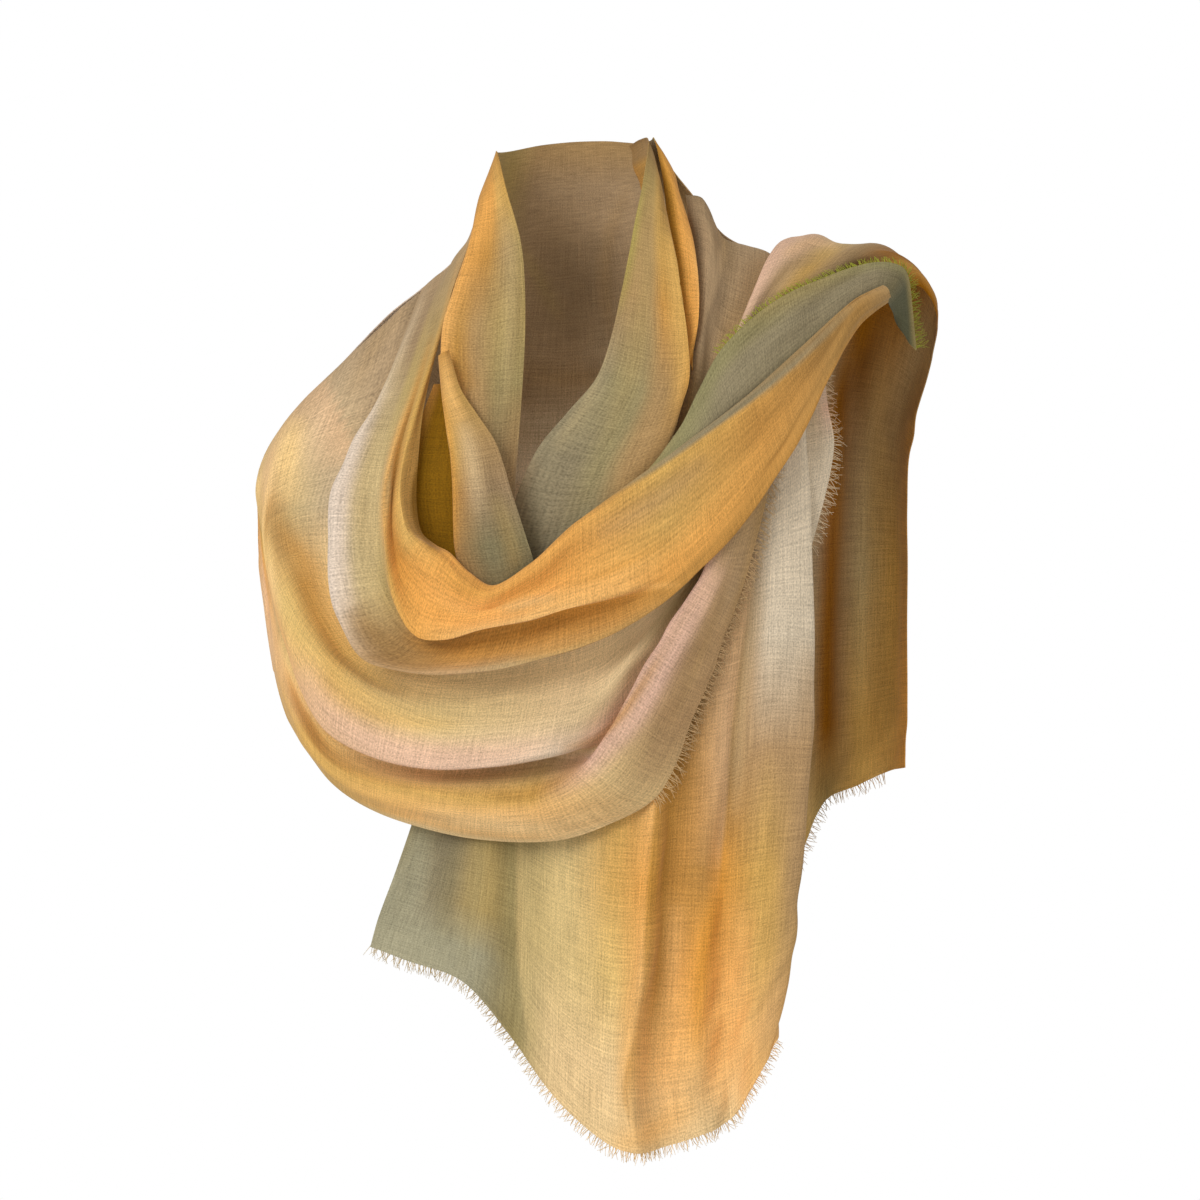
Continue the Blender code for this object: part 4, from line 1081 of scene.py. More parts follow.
        (3.5, 1.2, "orange", 0.7, ((60, 90), (71, 66), (77, 36), (80, 2), (78, -28))),
    ),
    "shoulder_fold": (
        (3.5, -1.5, "shadow", 0.8, ((78, 64), (81, 40), (82, 10), (79, -24), (74, -60))),
        (5, 1.8, "taupe", 0.6, ((84, 60), (94, 40), (94, 16), (88, -10), (80, -46))),
        (7, -1, "shadow", 0.5, ((98, 44), (101, 28), (96, 6), (88, -16), (80, -44)), RIGHT),
        (8, 1, "umber", 0.4, ((122, 22), (112, -6), (100, -34), (90, -60))),
    ),
    "shoulder_band": (
        (5, -1.2, "lichen", 0.4, ((190, 8), (160, -12), (128, -40), (98, -76), (66, -112))),
        (5, 1, "fern", 0.6, ((140, -12), (112, -30), (94, -52), (82, -80))),
        (4, 0.8, "sage", 0.4, ((170, -18), (140, -48), (108, -80), (76, -110))),
    ),
    "back_tail": (
        (5, -2.5, "umber", 0.6, ((116, -26), (128, -2), (146, 18), (170, 26))),
        (5, 1.6, "rose", 0.4, ((106, -34), (122, 0), (134, 22), (150, 32))),
        (4, 1.5, "peach", 0.7, ((138, 24), (156, 33), (176, 31))),
        (6, 1.2, "dusk", 0.6, ((130, -18), (156, 8), (186, 24), (212, 22))),
        (5, -1.5, "shadow", 0.5, ((150, -8), (180, 14), (206, 22))),
    ),
}
BACK_LINES = {
    "back_tail": (
        (7, -3, "umber", 0.4, ((150, -20), (146, -110), (136, -230), (128, -340))),
        (9, 3, "oat", 0.4, ((168, -30), (170, -130), (160, -250), (156, -370))),
        (6, -2.5, "taupe", 0.4, ((192, -10), (196, -120), (188, -240), (190, -330))),
        (8, 2.5, "honey", 0.3, ((214, -40), (210, -150), (208, -290))),
        (5, -1.8, "bronze", 0.3, ((128, -130), (132, -240), (148, -390))),
    ),
    "back_panel": (
        # painted light: a pale dye that offsets the shade on the back's edge over the left shoulder
        (14, 0, "pearl", 0.9, ((-60, 60), (-90, 20), (-112, 0), (-138, -26), (-165, -60))),
        (8, -3, "umber", 0.4, ((-90, 0), (-50, -34), (0, -46), (44, -36), (84, 0))),
        (7, 2.5, "beige", 0.3, ((-110, -24), (-60, -64), (-4, -84), (50, -70))),
        (9, -3.5, "taupe", 0.5, ((-140, -56), (-90, -104), (-30, -132), (30, -122), (84, -74))),
        (6, 2, "oat", 0.3, ((-170, -90), (-110, -140), (-40, -168), (20, -160))),
        (9, -3, "khaki", 0.4, ((-190, -130), (-130, -184), (-60, -218), (20, -212), (90, -160))),
        (7, 2.5, "straw", 0.3, ((-160, -186), (-90, -234), (-20, -252), (50, -236))),
        (6, -2, "olive", 0.4, ((-60, 60), (-30, 30), (-10, -6))),
        (5, -2, "umber", 0.4, ((40, 90), (24, 50), (22, 10), (30, -30))),
        (5, 1.5, "taupe", 0.3, ((0, 96), (4, 50), (0, 10))),
        (7, -2.5, "honey", 0.3, ((-120, -230), (-50, -268), (20, -272), (80, -244))),
        (5, -2, "gold", 0.4, ((-196, -176), (-170, -214), (-130, -244))),
    ),
}
LINE_STEPS = 24  # points on each line, from one of its own to the next
LINE_REACH = 3  # how many widths off a line it still tells
TAPER = 0.15  # of a line's strength that is left at its ends
TAPER_CURVE = 0.6  # how soon it is back: 1 is a plain half wave
SHARP = 2.6  # how softly a one-sided line's dye ends, in millimetres

RIPPLES = 9  # waves to a stretch
RIPPLE_WIDTHS = (16, 46)  # across the folds
RIPPLE_LENGTHS = (110, 340)  # along them
RIPPLE_STEEPNESS = 0.006  # height to width
STILL = 12  # how far from the seam at the limb the waves die out

# -------------------------------------------------------------------------- the finish
# Waves to a metre of cloth, along the threads and across them, and how rough their noise is.
YARN_WAVES, YARN_DETAIL = (36.0, 960.0), 2.0
SLUB_WAVES, SLUB_DETAIL = (24.0, 760.0), 1.0
GRAIN_WAVES, GRAIN_DETAIL = (980.0, 980.0), 1.0
CLOUD_WAVES, CLOUD_DETAIL = (14.0, 30.0), 2.0
NOISE_ROUGHNESS = 0.5
WEAVE_CONTRAST = 0.5
SLUB_FROM, SLUB_TO, SLUB_SHARE = 0.62, 0.8, 0.22  # the thick threads and how light they are
GRAIN_SHARE = 1.5
CLOUD_SHARE = 0.5
BUMP_STRENGTH, BUMP_DEPTH = 0.3, 0.0003
# The cloth's own gloss, on the shader's sockets.
CLOTH_GLOSS = {
    "Roughness": 0.85, "Specular IOR Level": 0.1, "Sheen Weight": 0.1, "Sheen Roughness": 0.4,
}

# --------------------------------------------------------------------------- the studio
GLOW_BELOW, GLOW_ABOVE = 0.50, 0.62  # the surround's light
GLOW_COLOUR = (1.0, 0.95, 0.86)
WHITE = (1.0, 1.0, 1.0, 1.0)
# The lamps: their place and size in metres and their power. All face one point.
LAMPS = (
    ("key", (-1.7, -2.5, 1.15), 1.6, 50.0),
    ("fill", (2.2, -2.0, 0.2), 2.0, 5.0),
)
LAMPS_FACE = (0.0, 0.0, -0.22)
FLOOR_RADIUS, FLOOR_HEIGHT, FLOOR_SIDES = 4.5, -1.4, 96
FLOOR_GREY, FLOOR_ROUGHNESS = 0.9, 0.9
SENSOR = 36.0  # the camera's width
PHOTO_SIDE = 1200  # the photo's width and height, in pixels
PIXEL = 0.68  # a pixel's size on the chest, in millimetres

# --------------------------------------------------------------------- the frayed edges
# Each edge's threads: how far apart and how long they are, the seed of their lean, and how much
# lighter than the cloth they are, partly paler loose yarn and partly painted light against the
# shade that thin threads take.
THREADS = {
    "hem": (0.8, 7, 11, 0.45),
    "swag": (0.8, 9.5, 12, 0.4),
    "return": (1.0, 9, 13, 0.3),
    "band": (0.9, 5.5, 14, 0.0),
    "turned": (0.8, 10, 17, 0.0),
    "tail": (1.2, 8, 15, 0.2),
    "back": (1.4, 7, 16, 0.3),
}
BACK_FRAYED = (1, 5)  # the places of the back between which its edge is frayed
FRINGE_SLOPE = 0.15  # how much of an edge's slope its threads keep where they lie on other cloth
THREAD_RADIUS = 0.3  # of one thread or a few that cling together
THREAD_TIP = 0.45  # of the radius that is left at a thread's end
THREAD_LIGHT = 1.25  # how light a pale thread is, next to cream cloth
THREAD_TONES = (0.86, 1.12)  # how dark and light threads of one dye are
THREAD_SIDES = 3
THREAD_STEPS = 5
THREAD_RUN, THREAD_APART = 0.008, 0.001  # the weave's run along a thread and from one to the next
THREAD_AT = (0.1, 0.9)  # where in its own step along the edge a thread stands
THREAD_LENGTHS = (0.5, 1.0)  # of the longest
ROOTED = 1.2  # how far inside the edge a thread starts
TUFT_TURN, TUFT_LEAN = 1.3, 0.35  # tufts: how quickly the common lean changes, and how much
LEAN, LIFT = 0.22, 0.10  # how far single threads stray along the edge and off the cloth
BEND, BEND_SHARE = 0.5, 0.6  # how much they bend, and how much of it is along the edge
SAG = -0.12  # of its length that a thread hangs down at its end
OFF_AXIS = (0.31, 0.17, 0.94)  # a direction that no thread has


def placed(grid, places, first, last):
    """Which columns of a grid lie between two places."""
    at = np.linspace(0, len(places) - 1, grid.shape[1])
    return (at >= first - LEAST) & (at <= last + LEAST)


def drape():
    """The grid of each stretch, by name, each laid over the ones that it lies on."""
    grids = {name: draped(folds, places) for name, folds, places, *_ in STRETCHES}
    places_of = {name: places for name, _, places, *_ in STRETCHES}
    for name, under, clearance, first, last in LAID:
        chosen = placed(grids[name], places_of[name], first, last)
        grids[name] = laid_over(grids[name], [grids[u] for u in under], clearance, chosen)
    return grids


def finer(grid, cell, square):
    """The grid with more points on smooth curves through its own, about a cell apart."""
    for axis, ends in ((1, square), (0, (False, False))):
        length = np.linalg.norm(np.diff(grid, axis=axis), axis=2).mean()
        grid = curved(grid, axis, max(1, round(length / cell)), ends)
    return grid


def run_of(grid, axis):
    """How far along an axis each point of a grid lies, in millimetres."""
    steps = np.linalg.norm(np.diff(grid, axis=axis), axis=2)
    first = np.zeros_like(np.take(steps, [0], axis=axis))
    return np.concatenate([first, np.cumsum(steps, axis=axis)], axis=axis)


def weave_of(grid):
    """The run of the weave at each point: threads follow the fold lines and cross them square."""
    along = np.broadcast_to(run_of(grid, 1).mean(axis=0), grid.shape[:2])
    across = np.broadcast_to(run_of(grid, 0).mean(axis=1)[:, None], grid.shape[:2])
    return along, across


def shown(grid):
    """Where each point of a grid shows from the front, in the tables' x and z."""
    scale = (EYE_DISTANCE - CHEST_DEPTH) / (EYE_DISTANCE + grid[..., 1])
    return np.stack([
        EYE_ACROSS + (grid[..., 0] - EYE_ACROSS) * scale, EYE_UP + (grid[..., 2] - EYE_UP) * scale,
    ], axis=-1)


def closeness(grid, facing, side, width, points):
    """How close each point of a grid is to a line: 1 on the line and 0 a few widths off it, less
    towards the line's ends, and nothing on the wrong side of a one-sided line."""
    front = facing == FRONT
    flat = shown(grid) if front else grid[..., [0, 2]]
    line = curved(np.array(points, float), 0, LINE_STEPS)
    reach = LINE_REACH * width
    near = np.all((flat > line.min(axis=0) - reach) & (flat < line.max(axis=0) + reach), axis=2)
    near &= grid[..., 1] < LIMB_BLEND if front else grid[..., 1] > -LIMB_BLEND
    offset = flat[near][:, None] - line
    gap = np.linalg.norm(offset, axis=2)
    at = gap.argmin(axis=1)
    strength = np.exp(-((gap.min(axis=1) / width) ** 2))
    strength *= TAPER + (1.0 - TAPER) * np.sin(np.pi * at / (len(line) - 1)) ** TAPER_CURVE
    if side != BOTH:
        ahead = np.gradient(line, axis=0)[at]
        square = np.stack([ahead[:, 1], -ahead[:, 0]], axis=1)
        square = unit(square * np.sign(square @ np.array(side, float))[:, None])
        beside = np.sum(offset[np.arange(len(at)), at] * square, axis=1)
        strength *= np.clip(beside / SHARP + 0.5, 0.0, 1.0)
    made = np.zeros(grid.shape[:2])
    made[near] = strength
    return made


def still(grid):
    """A share for each point of a grid, which falls to nothing at the seam at the limb."""
    if np.abs(grid[:, 0, 1]).max() > SEAM_PLANE and np.abs(grid[:, -1, 1]).max() > SEAM_PLANE:
        return np.ones(grid.shape[:2])
    return np.clip(np.abs(grid[..., 1]) / STILL, 0.0, 1.0)


def lines_of(name):
    """The lines of a stretch: the face that each is seen on, its values and its side."""
    return [
        (facing, *line[:5], line[5] if len(line) > 5 else BOTH)
        for facing, table in ((FRONT, FRONT_LINES), (BACK, BACK_LINES))
        for line in table.get(name, ())
    ]


def creased(name, grid):
    """The grid with its listed creases."""
    height = np.zeros(grid.shape[:2])
    for facing, width, rise, _, _, points, _ in lines_of(name):
        if rise:
            height += closeness(grid, facing, BOTH, width, points) * rise
    return grid + facing_out(grid) * (height * still(grid))[..., None]


def rippled(grid, seed):
    """The grid with small uneven waves that run mostly along its folds."""
    rng = np.random.default_rng(seed)
    across, along = run_of(grid, 0), run_of(grid, 1)
    height = np.zeros(grid.shape[:2])
    for _ in range(RIPPLES):
        width = rng.uniform(*RIPPLE_WIDTHS)
        length = rng.uniform(*RIPPLE_LENGTHS) * rng.choice((-1.0, 1.0))
        turn = rng.uniform(0.0, 2 * math.pi)
        waves = 2 * math.pi * (across / width + along / length)
        height += np.sin(waves + turn) * width * RIPPLE_STEEPNESS
    return grid + facing_out(grid) * (height * still(grid))[..., None]


def spread(values, cells):
    """Values blurred over a few cells both ways."""
    for axis in (0, 1):
        for _ in range(cells):
            padded = np.concatenate(
                [np.take(values, [0], axis), values, np.take(values, [-1], axis)], axis=axis
            )
            low, middle, high = (
                np.take(padded, range(k, k + values.shape[axis]), axis) for k in range(3)
            )
            values = (low + 2 * middle + high) / 4
    return values


def eased_over(grid, under, chosen):
    """The fine grid, pushed softly outward where it still cuts into the stretches under it."""
    trees = [surface_tree(other) for other in under]
    made = grid
    for _ in range(FINE_ROUNDS):
        push = np.zeros(grid.shape[:2])
        for j in np.nonzero(chosen)[0]:
            for i in range(grid.shape[0]):
                p = made[i, j]
                push[i, j] = needed_push(p, away_from_figure(p), trees, SHEET_CLEAR)
        if push.max() < NEAR_ENOUGH:
            break
        made = pushed(made, spread(widened(push, SOFTEN), SOFTEN))
    return made


def fine_cloth(coarse):
    """The fine grid of each stretch, creased, rippled and laid over its neighbours again."""
    fine = {}
    for seed, (name, _, places, cell, *_) in enumerate(STRETCHES):
        grid = finer(coarse[name], cell, on_seam(places))
        fine[name] = rippled(creased(name, grid), seed)
    places_of = {name: places for name, _, places, *_ in STRETCHES}
    for name, under, _, first, last in LAID:
        chosen = placed(fine[name], places_of[name], first, last)
        fine[name] = eased_over(fine[name], [fine[u] for u in under], chosen)
    fine["back_panel"][:, [0, -1], 1] -= SEAM_LAP
    return fine


def linear(code):
    """The linear colour of a dye's code, which is red, green and blue as a screen shows them."""
    screen = np.array([code >> 16 & 255, code >> 8 & 255, code & 255]) / 255
    return np.where(screen <= 0.04045, screen / 12.92, ((screen + 0.055) / 1.055) ** 2.4)


def dyed(name, grid):
    """A colour for each point of a stretch, from its fold lines' dyes and its lines' own, painted
    shade and painted highlights among them.
    """
    lines = []
    share = np.linspace(0.0, 1.0, grid.shape[1])
    for words in DYED[name]:
        stops = np.array([linear(DYES[word]) for word in words.split()])
        at = np.linspace(0.0, 1.0, len(stops)) if len(stops) > 1 else np.array([0.5])
        lines.append(np.stack([np.interp(share, at, stops[:, k]) for k in range(3)], axis=1))
    lines = np.array(lines)
    rows = np.linspace(0, len(lines) - 1, grid.shape[0])
    low = np.clip(rows.astype(int), 0, len(lines) - 2)
    part = (rows - low)[:, None, None]
    part = part * part * (3 - 2 * part)
    made = lines[low] * (1 - part) + lines[low + 1] * part
    for facing, width, _, dye, amount, points, side in lines_of(name):
        if amount:
            share = (closeness(grid, facing, side, width, points) * amount)[..., None]
            made = made * (1 - share) + linear(DYES[dye]) * share
    return made


def dyed_mesh(name, points, faces, colours, run, material):
    """A smooth mesh in the scene, with the dye and the run of the weave of each of its points."""
    mesh = bpy.data.meshes.new(name)
    mesh.from_pydata((points * MM).tolist(), [], faces)
    mesh.shade_smooth()
    rgba = np.concatenate([colours, np.ones((len(colours), 1))], axis=1).astype(np.float32)
    mesh.attributes.new("dye", "FLOAT_COLOR", "POINT").data.foreach_set("color", rgba.ravel())
    corners = np.zeros(len(mesh.loops), np.int32)
    mesh.loops.foreach_get("vertex_index", corners)
    layer = mesh.uv_layers.new(name="weave")
    layer.data.foreach_set("uv", run[corners].astype(np.float32).ravel())
    mesh.materials.append(material)
    made = bpy.data.objects.new(name, mesh)
    bpy.context.scene.collection.objects.link(made)
    return made


def shell(name, grid, facing, colours, material, weave):
    """A stretch of cloth as a thin closed shell, with its dye and the run of its weave."""
    rows, places = grid.shape[:2]
    half = facing * SHEET_WALL / 2
    points = np.concatenate([(grid + half).reshape(-1, 3), (grid - half).reshape(-1, 3)])
    size = rows * places
    n = np.arange(size).reshape(rows, places)
    quads = np.stack([n[:-1, :-1], n[1:, :-1], n[1:, 1:], n[:-1, 1:]], axis=2).reshape(-1, 4)
    rim = np.concatenate([n[0, :-1], n[:-1, -1], n[-1, :0:-1], n[:0:-1, 0]])
    after = np.roll(rim, -1)
    edge = np.stack([rim, after, after + size, rim + size], axis=1)
    faces = np.concatenate([quads, quads[:, ::-1] + size, edge])
    dyes = np.tile(colours.reshape(-1, 3), (2, 1))
    run = np.tile(np.stack(weave, axis=2).reshape(-1, 2) * MM, (2, 1))
    made = dyed_mesh(name, points, faces.tolist(), dyes, run, material)
    made.data.set_sharp_from_angle(angle=math.radians(SHARP_ANGLE))
    return made


# --------------------------------------------------------------------------- materials
def linked(tree, kind, inputs, **settings):
    """A new node with its settings, whose inputs are values or other nodes' outputs."""
    node = tree.nodes.new(kind)
    for key, value in settings.items():
        setattr(node, key, value)
    for key, value in inputs.items():
        if isinstance(value, bpy.types.NodeSocket):
            tree.links.new(value, node.inputs[key])
        else:
            node.inputs[key].default_value = value
    return node


def threads_noise(tree, run, waves, detail):
    """Uneven threads: a noise with so many waves to a metre along the weave and across it."""
    along, across = waves
    stretched = linked(
        tree, "ShaderNodeMapping", {"Vector": run, "Scale": (along, across, 1.0)},
        vector_type="POINT",
    )
    return linked(
        tree, "ShaderNodeTexNoise",
        {"Vector": stretched.outputs["Vector"], "Scale": 1.0, "Detail": detail,
         "Roughness": NOISE_ROUGHNESS},
        noise_dimensions="2D",
    ).outputs["Fac"]


def slub(tree, noise):
    """Only the thickest threads of a noise."""
    return linked(
        tree, "ShaderNodeMapRange", {"Value": noise, "From Min": SLUB_FROM, "From Max": SLUB_TO}
    ).outputs["Result"]


def added(tree, first, second, amount):
    """The first value and so much of the second."""
    return linked(
        tree, "ShaderNodeMath", {0: second, 1: amount, 2: first}, operation="MULTIPLY_ADD"
    ).outputs[0]


def woven(name):
    """Fine wool and silk cloth, in the dyes that the mesh holds."""
    made = bpy.data.materials.new(name)
    made.use_nodes = True
    tree = made.node_tree
    shader = tree.nodes["Principled BSDF"]
    run = linked(tree, "ShaderNodeUVMap", {}, uv_map="weave").outputs["UV"]
    dye = linked(tree, "ShaderNodeAttribute", {}, attribute_name="dye").outputs["Color"]
    warp = threads_noise(tree, run, YARN_WAVES, YARN_DETAIL)
    weft = threads_noise(tree, run, YARN_WAVES[::-1], YARN_DETAIL)
    slubs = added(
        tree, slub(tree, threads_noise(tree, run, SLUB_WAVES, SLUB_DETAIL)),
        slub(tree, threads_noise(tree, run, SLUB_WAVES[::-1], SLUB_DETAIL)), 1.0,
    )
    grain = threads_noise(tree, run, GRAIN_WAVES, GRAIN_DETAIL)
    cloud = threads_noise(tree, run, CLOUD_WAVES, CLOUD_DETAIL)
    cloth = added(tree, added(tree, warp, weft, 1.0), grain, GRAIN_SHARE)
    tone = added(tree, added(tree, cloth, cloud, CLOUD_SHARE), slubs, SLUB_SHARE)
    middle = (2.0 + GRAIN_SHARE + CLOUD_SHARE) / 2
    shade = linked(
        tree, "ShaderNodeMapRange",
        {"Value": tone, "From Min": middle - 1.0, "From Max": middle + 1.0,
         "To Min": 1.0 - WEAVE_CONTRAST, "To Max": 1.0 + WEAVE_CONTRAST},
    ).outputs["Result"]
    colour = linked(tree, "ShaderNodeVectorMath", {0: dye, "Scale": shade}, operation="SCALE")
    tree.links.new(colour.outputs["Vector"], shader.inputs["Base Color"])
    bump = linked(
        tree, "ShaderNodeBump", {"Height": cloth, "Strength": BUMP_STRENGTH, "Distance": BUMP_DEPTH}
    )
    tree.links.new(bump.outputs["Normal"], shader.inputs["Normal"])
    for socket, value in CLOTH_GLOSS.items():
        shader.inputs[socket].default_value = value
    return made


def plain(name, grey, roughness):
    """A plain matte material."""
    made = bpy.data.materials.new(name)
    made.use_nodes = True
    shader = made.node_tree.nodes["Principled BSDF"]
    shader.inputs["Base Color"].default_value = (grey, grey, grey, 1.0)
    shader.inputs["Roughness"].default_value = roughness
    return made


# ------------------------------------------------------------------------------ threads
def threads(name, line, inner, colours, material, under):
    """The loose threads of a frayed edge, joined in one mesh, on the cloth under it if any."""
    step, longest, seed, pale = THREADS[name]
    rng = np.random.default_rng(seed)
    run = np.concatenate([[0.0], np.cumsum(np.linalg.norm(np.diff(line, axis=0), axis=1))])
    count = int(run[-1] / step)
    at = (np.arange(count) + rng.uniform(*THREAD_AT, count)) * step
    along = unit(np.gradient(line, axis=0))
    out = line - inner
    out -= along * np.sum(out * along, axis=1, keepdims=True)
    if under:
        out[:, 1] *= FRINGE_SLOPE
    out = unit(out)

    def here(values):
        return np.stack([np.interp(at, run, values[:, k]) for k in range(3)], axis=1)

    root, out, along = here(line), here(out), here(along)
    tint = here(colours) * rng.uniform(*THREAD_TONES, count)[:, None]
    # lighter towards cream: partly paler loose yarn, partly painted light against the threads'
    # shade
    tint += (linear(DYES["cream"]) * THREAD_LIGHT - tint) * pale
    side = np.cross(out, along)
    length = longest * rng.uniform(*THREAD_LENGTHS, count)
    tuft = np.sin(at * TUFT_TURN + seed) * TUFT_LEAN
    lean = tuft + rng.normal(0.0, LEAN, count)
    bend = rng.normal(0.0, BEND, count)
    lift = rng.normal(0.0, LIFT, count)
    sag = np.array([0.0, 0.0, SAG])
    spine = np.stack([
        root + length[:, None] * (
            out * s + along * (lean * s + bend * s * s * BEND_SHARE)[:, None]
            + side * (lift * s)[:, None] + sag * s * s
        ) - out * (1.0 - s) * ROOTED
        for s in np.linspace(0.0, 1.0, THREAD_STEPS + 1)
    ])
    if under:
        spine = laid_over_points(spine, under)
    return tubes(name + "_threads", spine, tint, material)


def laid_over_points(spine, under):
    """Threads, each point of which is pushed clear of the cloth under it."""
    trees = [surface_tree(other) for other in under]
    made = spine.copy()
    for k in np.ndindex(spine.shape[:2]):
        away = away_from_figure(made[k])
        made[k] += np.array(away) * needed_push(made[k], away, trees, SHEET_CLEAR)
    return made


def tubes(name, spine, tint, material):
    """Thin tapered tubes along the spines."""
    steps, count = spine.shape[:2]
    ahead = unit(np.gradient(spine, axis=0))
    aside = unit(np.cross(ahead, np.array(OFF_AXIS)))
    upward = np.cross(ahead, aside)
    radius = THREAD_RADIUS * np.linspace(1.0, THREAD_TIP, steps)[:, None, None]
    rings = []
    for k in range(THREAD_SIDES):
        turn = 2 * math.pi * k / THREAD_SIDES
        rings.append(spine + (aside * math.cos(turn) + upward * math.sin(turn)) * radius)
    points = np.stack(rings, axis=2)
    n = np.arange(points.size // 3).reshape(steps, count, THREAD_SIDES)
    after = np.roll(n, -1, axis=2)
    sides = np.stack([n[:-1], after[:-1], after[1:], n[1:]], axis=3).reshape(-1, 4)
    faces = sides.tolist() + n[0][:, ::-1].tolist() + n[-1].tolist()
    dyes = np.broadcast_to(tint[None, :, None], points.shape).reshape(-1, 3)
    run = np.zeros((steps, count, THREAD_SIDES, 2))
    run[..., 0] = np.linspace(0.0, THREAD_RUN, steps)[:, None, None]
    run[..., 1] = np.linspace(0.0, count * THREAD_APART, count)[None, :, None]
    return dyed_mesh(name, points.reshape(-1, 3), faces, dyes, run.reshape(-1, 2), material)


# ------------------------------------------------------------------ floor, light and camera
def lamp(name, place, size, power):
    """A soft square lamp that faces the scarf."""
    data = bpy.data.lights.new(name, "AREA")
    data.shape = "SQUARE"
    data.size = size
    data.energy = power
    made = bpy.data.objects.new(name, data)
    made.location = place
    ray = Vector(LAMPS_FACE) - Vector(place)
    made.rotation_euler = ray.to_track_quat("-Z", "Y").to_euler()
    bpy.context.scene.collection.objects.link(made)


def surround():
    """White where it is seen, and a soft grey light from all round that is brighter above."""
    world = bpy.data.worlds.new("studio")
    world.use_nodes = True
    tree = world.node_tree
    direction = linked(tree, "ShaderNodeTexCoord", {}).outputs["Generated"]
    height = linked(tree, "ShaderNodeSeparateXYZ", {0: direction}).outputs["Z"]
    glow = linked(
        tree, "ShaderNodeMapRange",
        {"Value": height, "From Min": -1.0, "From Max": 1.0,
         "To Min": GLOW_BELOW, "To Max": GLOW_ABOVE},
    ).outputs["Result"]
    seen = linked(tree, "ShaderNodeLightPath", {}).outputs["Is Camera Ray"]
    strength = linked(
        tree, "ShaderNodeMix", {"Factor": seen, "A": glow, "B": 1.0}, data_type="FLOAT"
    ).outputs["Result"]
    background = tree.nodes["Background"]
    colour = linked(
        tree, "ShaderNodeMix", {"Factor": seen, 6: (*GLOW_COLOUR, 1.0), 7: WHITE},
        data_type="RGBA",
    ).outputs[2]
    tree.links.new(colour, background.inputs["Color"])
    tree.links.new(strength, background.inputs["Strength"])
    return world


def studio():
    """A pale floor far below, a white surround, soft lamps and the camera."""
    scene = bpy.context.scene
    mesh = bpy.data.meshes.new("floor")
    turns = [2 * math.pi * k / FLOOR_SIDES for k in range(FLOOR_SIDES)]
    corners = [
        (FLOOR_RADIUS * math.cos(t), FLOOR_RADIUS * math.sin(t), FLOOR_HEIGHT) for t in turns
    ]
    mesh.from_pydata(corners, [], [range(FLOOR_SIDES)])
    mesh.materials.append(plain("floor_paint", FLOOR_GREY, FLOOR_ROUGHNESS))
    floor = bpy.data.objects.new("floor", mesh)
    scene.collection.objects.link(floor)
    scene.world = surround()
    for row in LAMPS:
        lamp(*row)
    camera = bpy.data.cameras.new("camera")
    camera.sensor_width = SENSOR
    camera.lens = SENSOR * EYE_DISTANCE / (PHOTO_SIDE * PIXEL)
    eye = bpy.data.objects.new("camera", camera)
    eye.location = (EYE_ACROSS * MM, -EYE_DISTANCE * MM, EYE_UP * MM)
    eye.rotation_euler = (math.radians(90), 0.0, 0.0)
    scene.collection.objects.link(eye)
    scene.camera = eye
    scene.view_settings.view_transform = "Standard"


def between(grid, places, first, last):
    """The columns of a grid from one place to another."""
    cells = grid.shape[1] - 1
    return slice(*(round(place / (len(places) - 1) * cells) for place in (first, last)))


def upto(count, fold, folds):
    """The rows of a stretch of so many, from its first fold line to a chosen one."""
    return slice(None, round(fold / (len(folds) - 1) * (count - 1)) + 1)


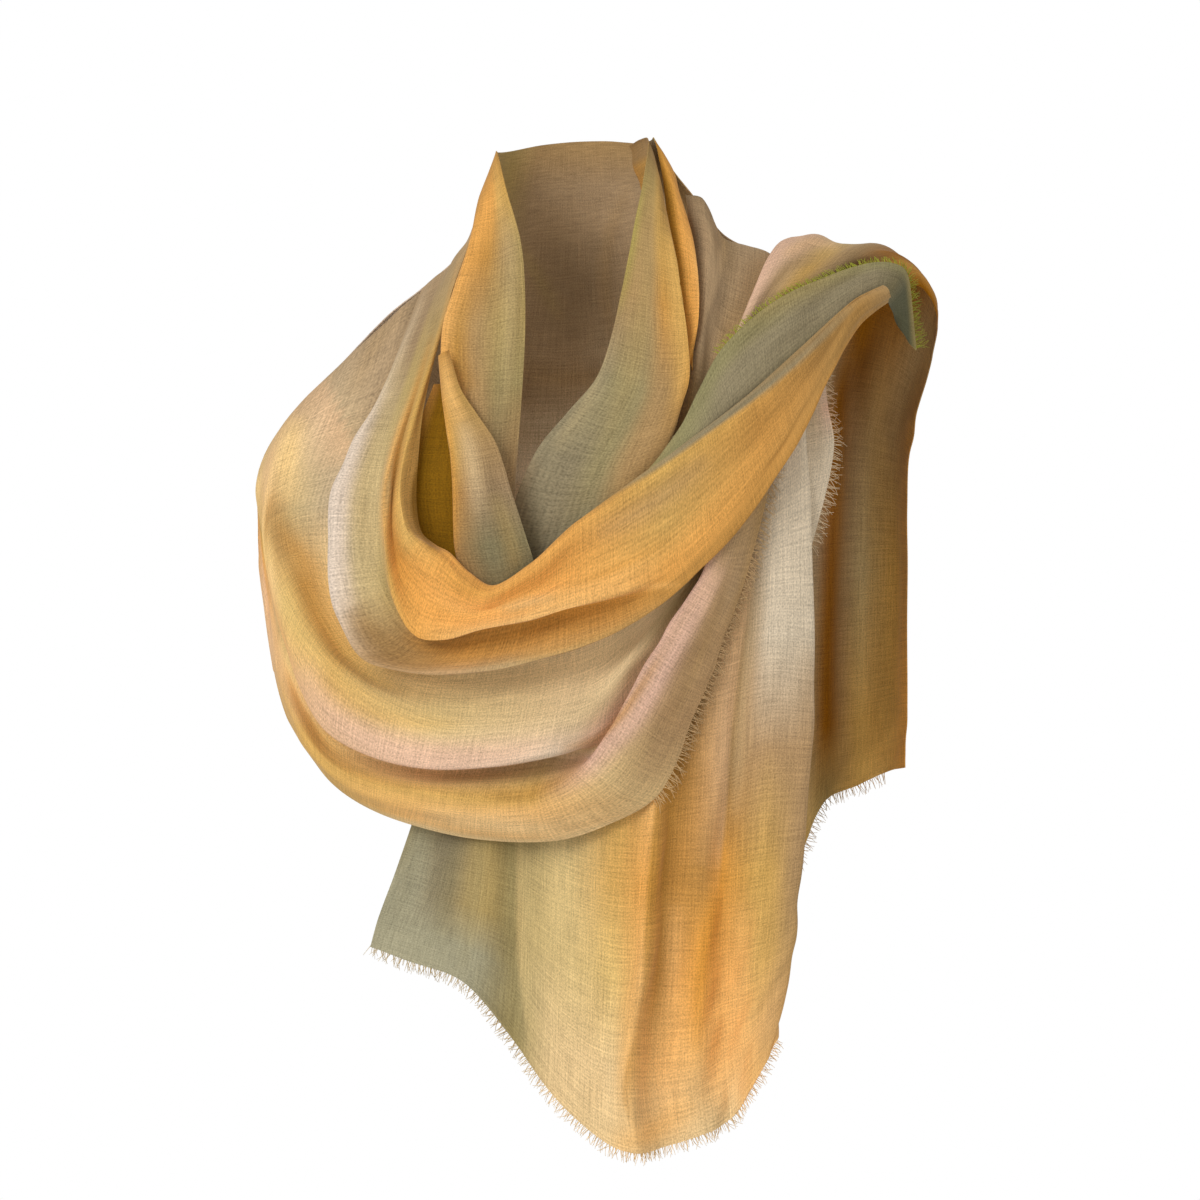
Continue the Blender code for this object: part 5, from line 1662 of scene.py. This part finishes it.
def frayed_edges(fine, colours):
    """Each frayed edge by name: the solid that it stands for, the piece that it is on, its slot,
    its line, the line inside it and its dyes, and the cloth that it lies on."""
    swag, band = fine["swag"], fine["shoulder_band"]
    hem = upto(len(fine["front_panel"]), HEM_TO, PANEL_FOLDS)
    ends = upto(len(fine["back_tail"]), len(TAIL_FOLDS) - 2, TAIL_FOLDS)
    frayed = between(swag, SWAG_PLACES, FRAYED_FROM, len(SWAG_PLACES))
    selvedge = between(band, BAND_PLACES, SELVEDGE_FROM, BAND_TURN)
    turned = between(band, BAND_PLACES, BAND_TURN, len(BAND_PLACES))
    sides = between(fine["back_panel"], BACK_PLACES, *BACK_FRAYED)
    dyes = {**colours, "shoulder_band": np.broadcast_to(linear(DYES["lime"]), band.shape)}
    on_panel = (fine["front_panel"], fine["panel_return"])
    on_shoulder = (fine["back_tail"], fine["shoulder_fold"])

    def last_fold(name, places=slice(None)):
        return fine[name][-1, places], fine[name][-2, places], dyes[name][-1, places]

    def last_place(name, rows):
        return fine[name][rows, -1], fine[name][rows, -2], dyes[name][rows, -1]

    return {
        "hem": ("hem", "front_panel", "orange", *last_place("front_panel", hem), ()),
        "swag": ("swag", "swag_outer", "beige", *last_fold("swag", frayed), on_panel),
        "return": ("return", "panel_return", "beige", *last_fold("panel_return"), ()),
        "band": (
            "band", "shoulder_band", "olive", *last_fold("shoulder_band", selvedge), on_shoulder,
        ),
        "turned": ("band", "shoulder_band", "olive", *last_fold("shoulder_band", turned), ()),
        "tail": ("tail", "back_tail", "taupe", *last_place("back_tail", ends), ()),
        "back": ("back", "back_panel", "olive", *last_fold("back_panel", sides), ()),
    }


def main():
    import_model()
    studio()
    fine = fine_cloth(drape())
    materials = {slot: woven(slot + "_cloth") for slot in SLOTS}

    made, colours = {}, {}
    for name, folds, places, _, slot, flat in STRETCHES:
        grid = fine[name]
        facing = facing_out(grid)
        colours[name] = dyed(name, grid)
        weave = weave_of(grid)
        parts = {name: slice(None)}
        if name == "swag":
            split = round(OUTER_FROM / (len(folds) - 1) * (grid.shape[0] - 1))
            parts = {"swag": slice(None, split + 1), "swag_outer": slice(split, None)}
        for part, rows in parts.items():
            piece = shell(
                part + "_cloth", grid[rows], facing[rows], colours[name][rows], materials[slot],
                [run[rows] for run in weave],
            )
            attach(piece, "root")
            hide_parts(part)
            made[part] = (piece, flat)

    loose = {}
    for name, (node, piece, slot, *edge, under) in frayed_edges(fine, colours).items():
        tufts = threads(name, *edge, materials[slot], under)
        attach(tufts, "root")
        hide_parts(node + "_fringe")
        loose.setdefault(piece, []).append(tufts)
    for part, (piece, flat) in made.items():
        width, length = flat
        if part in ("swag", "swag_outer"):
            width /= 2


main()
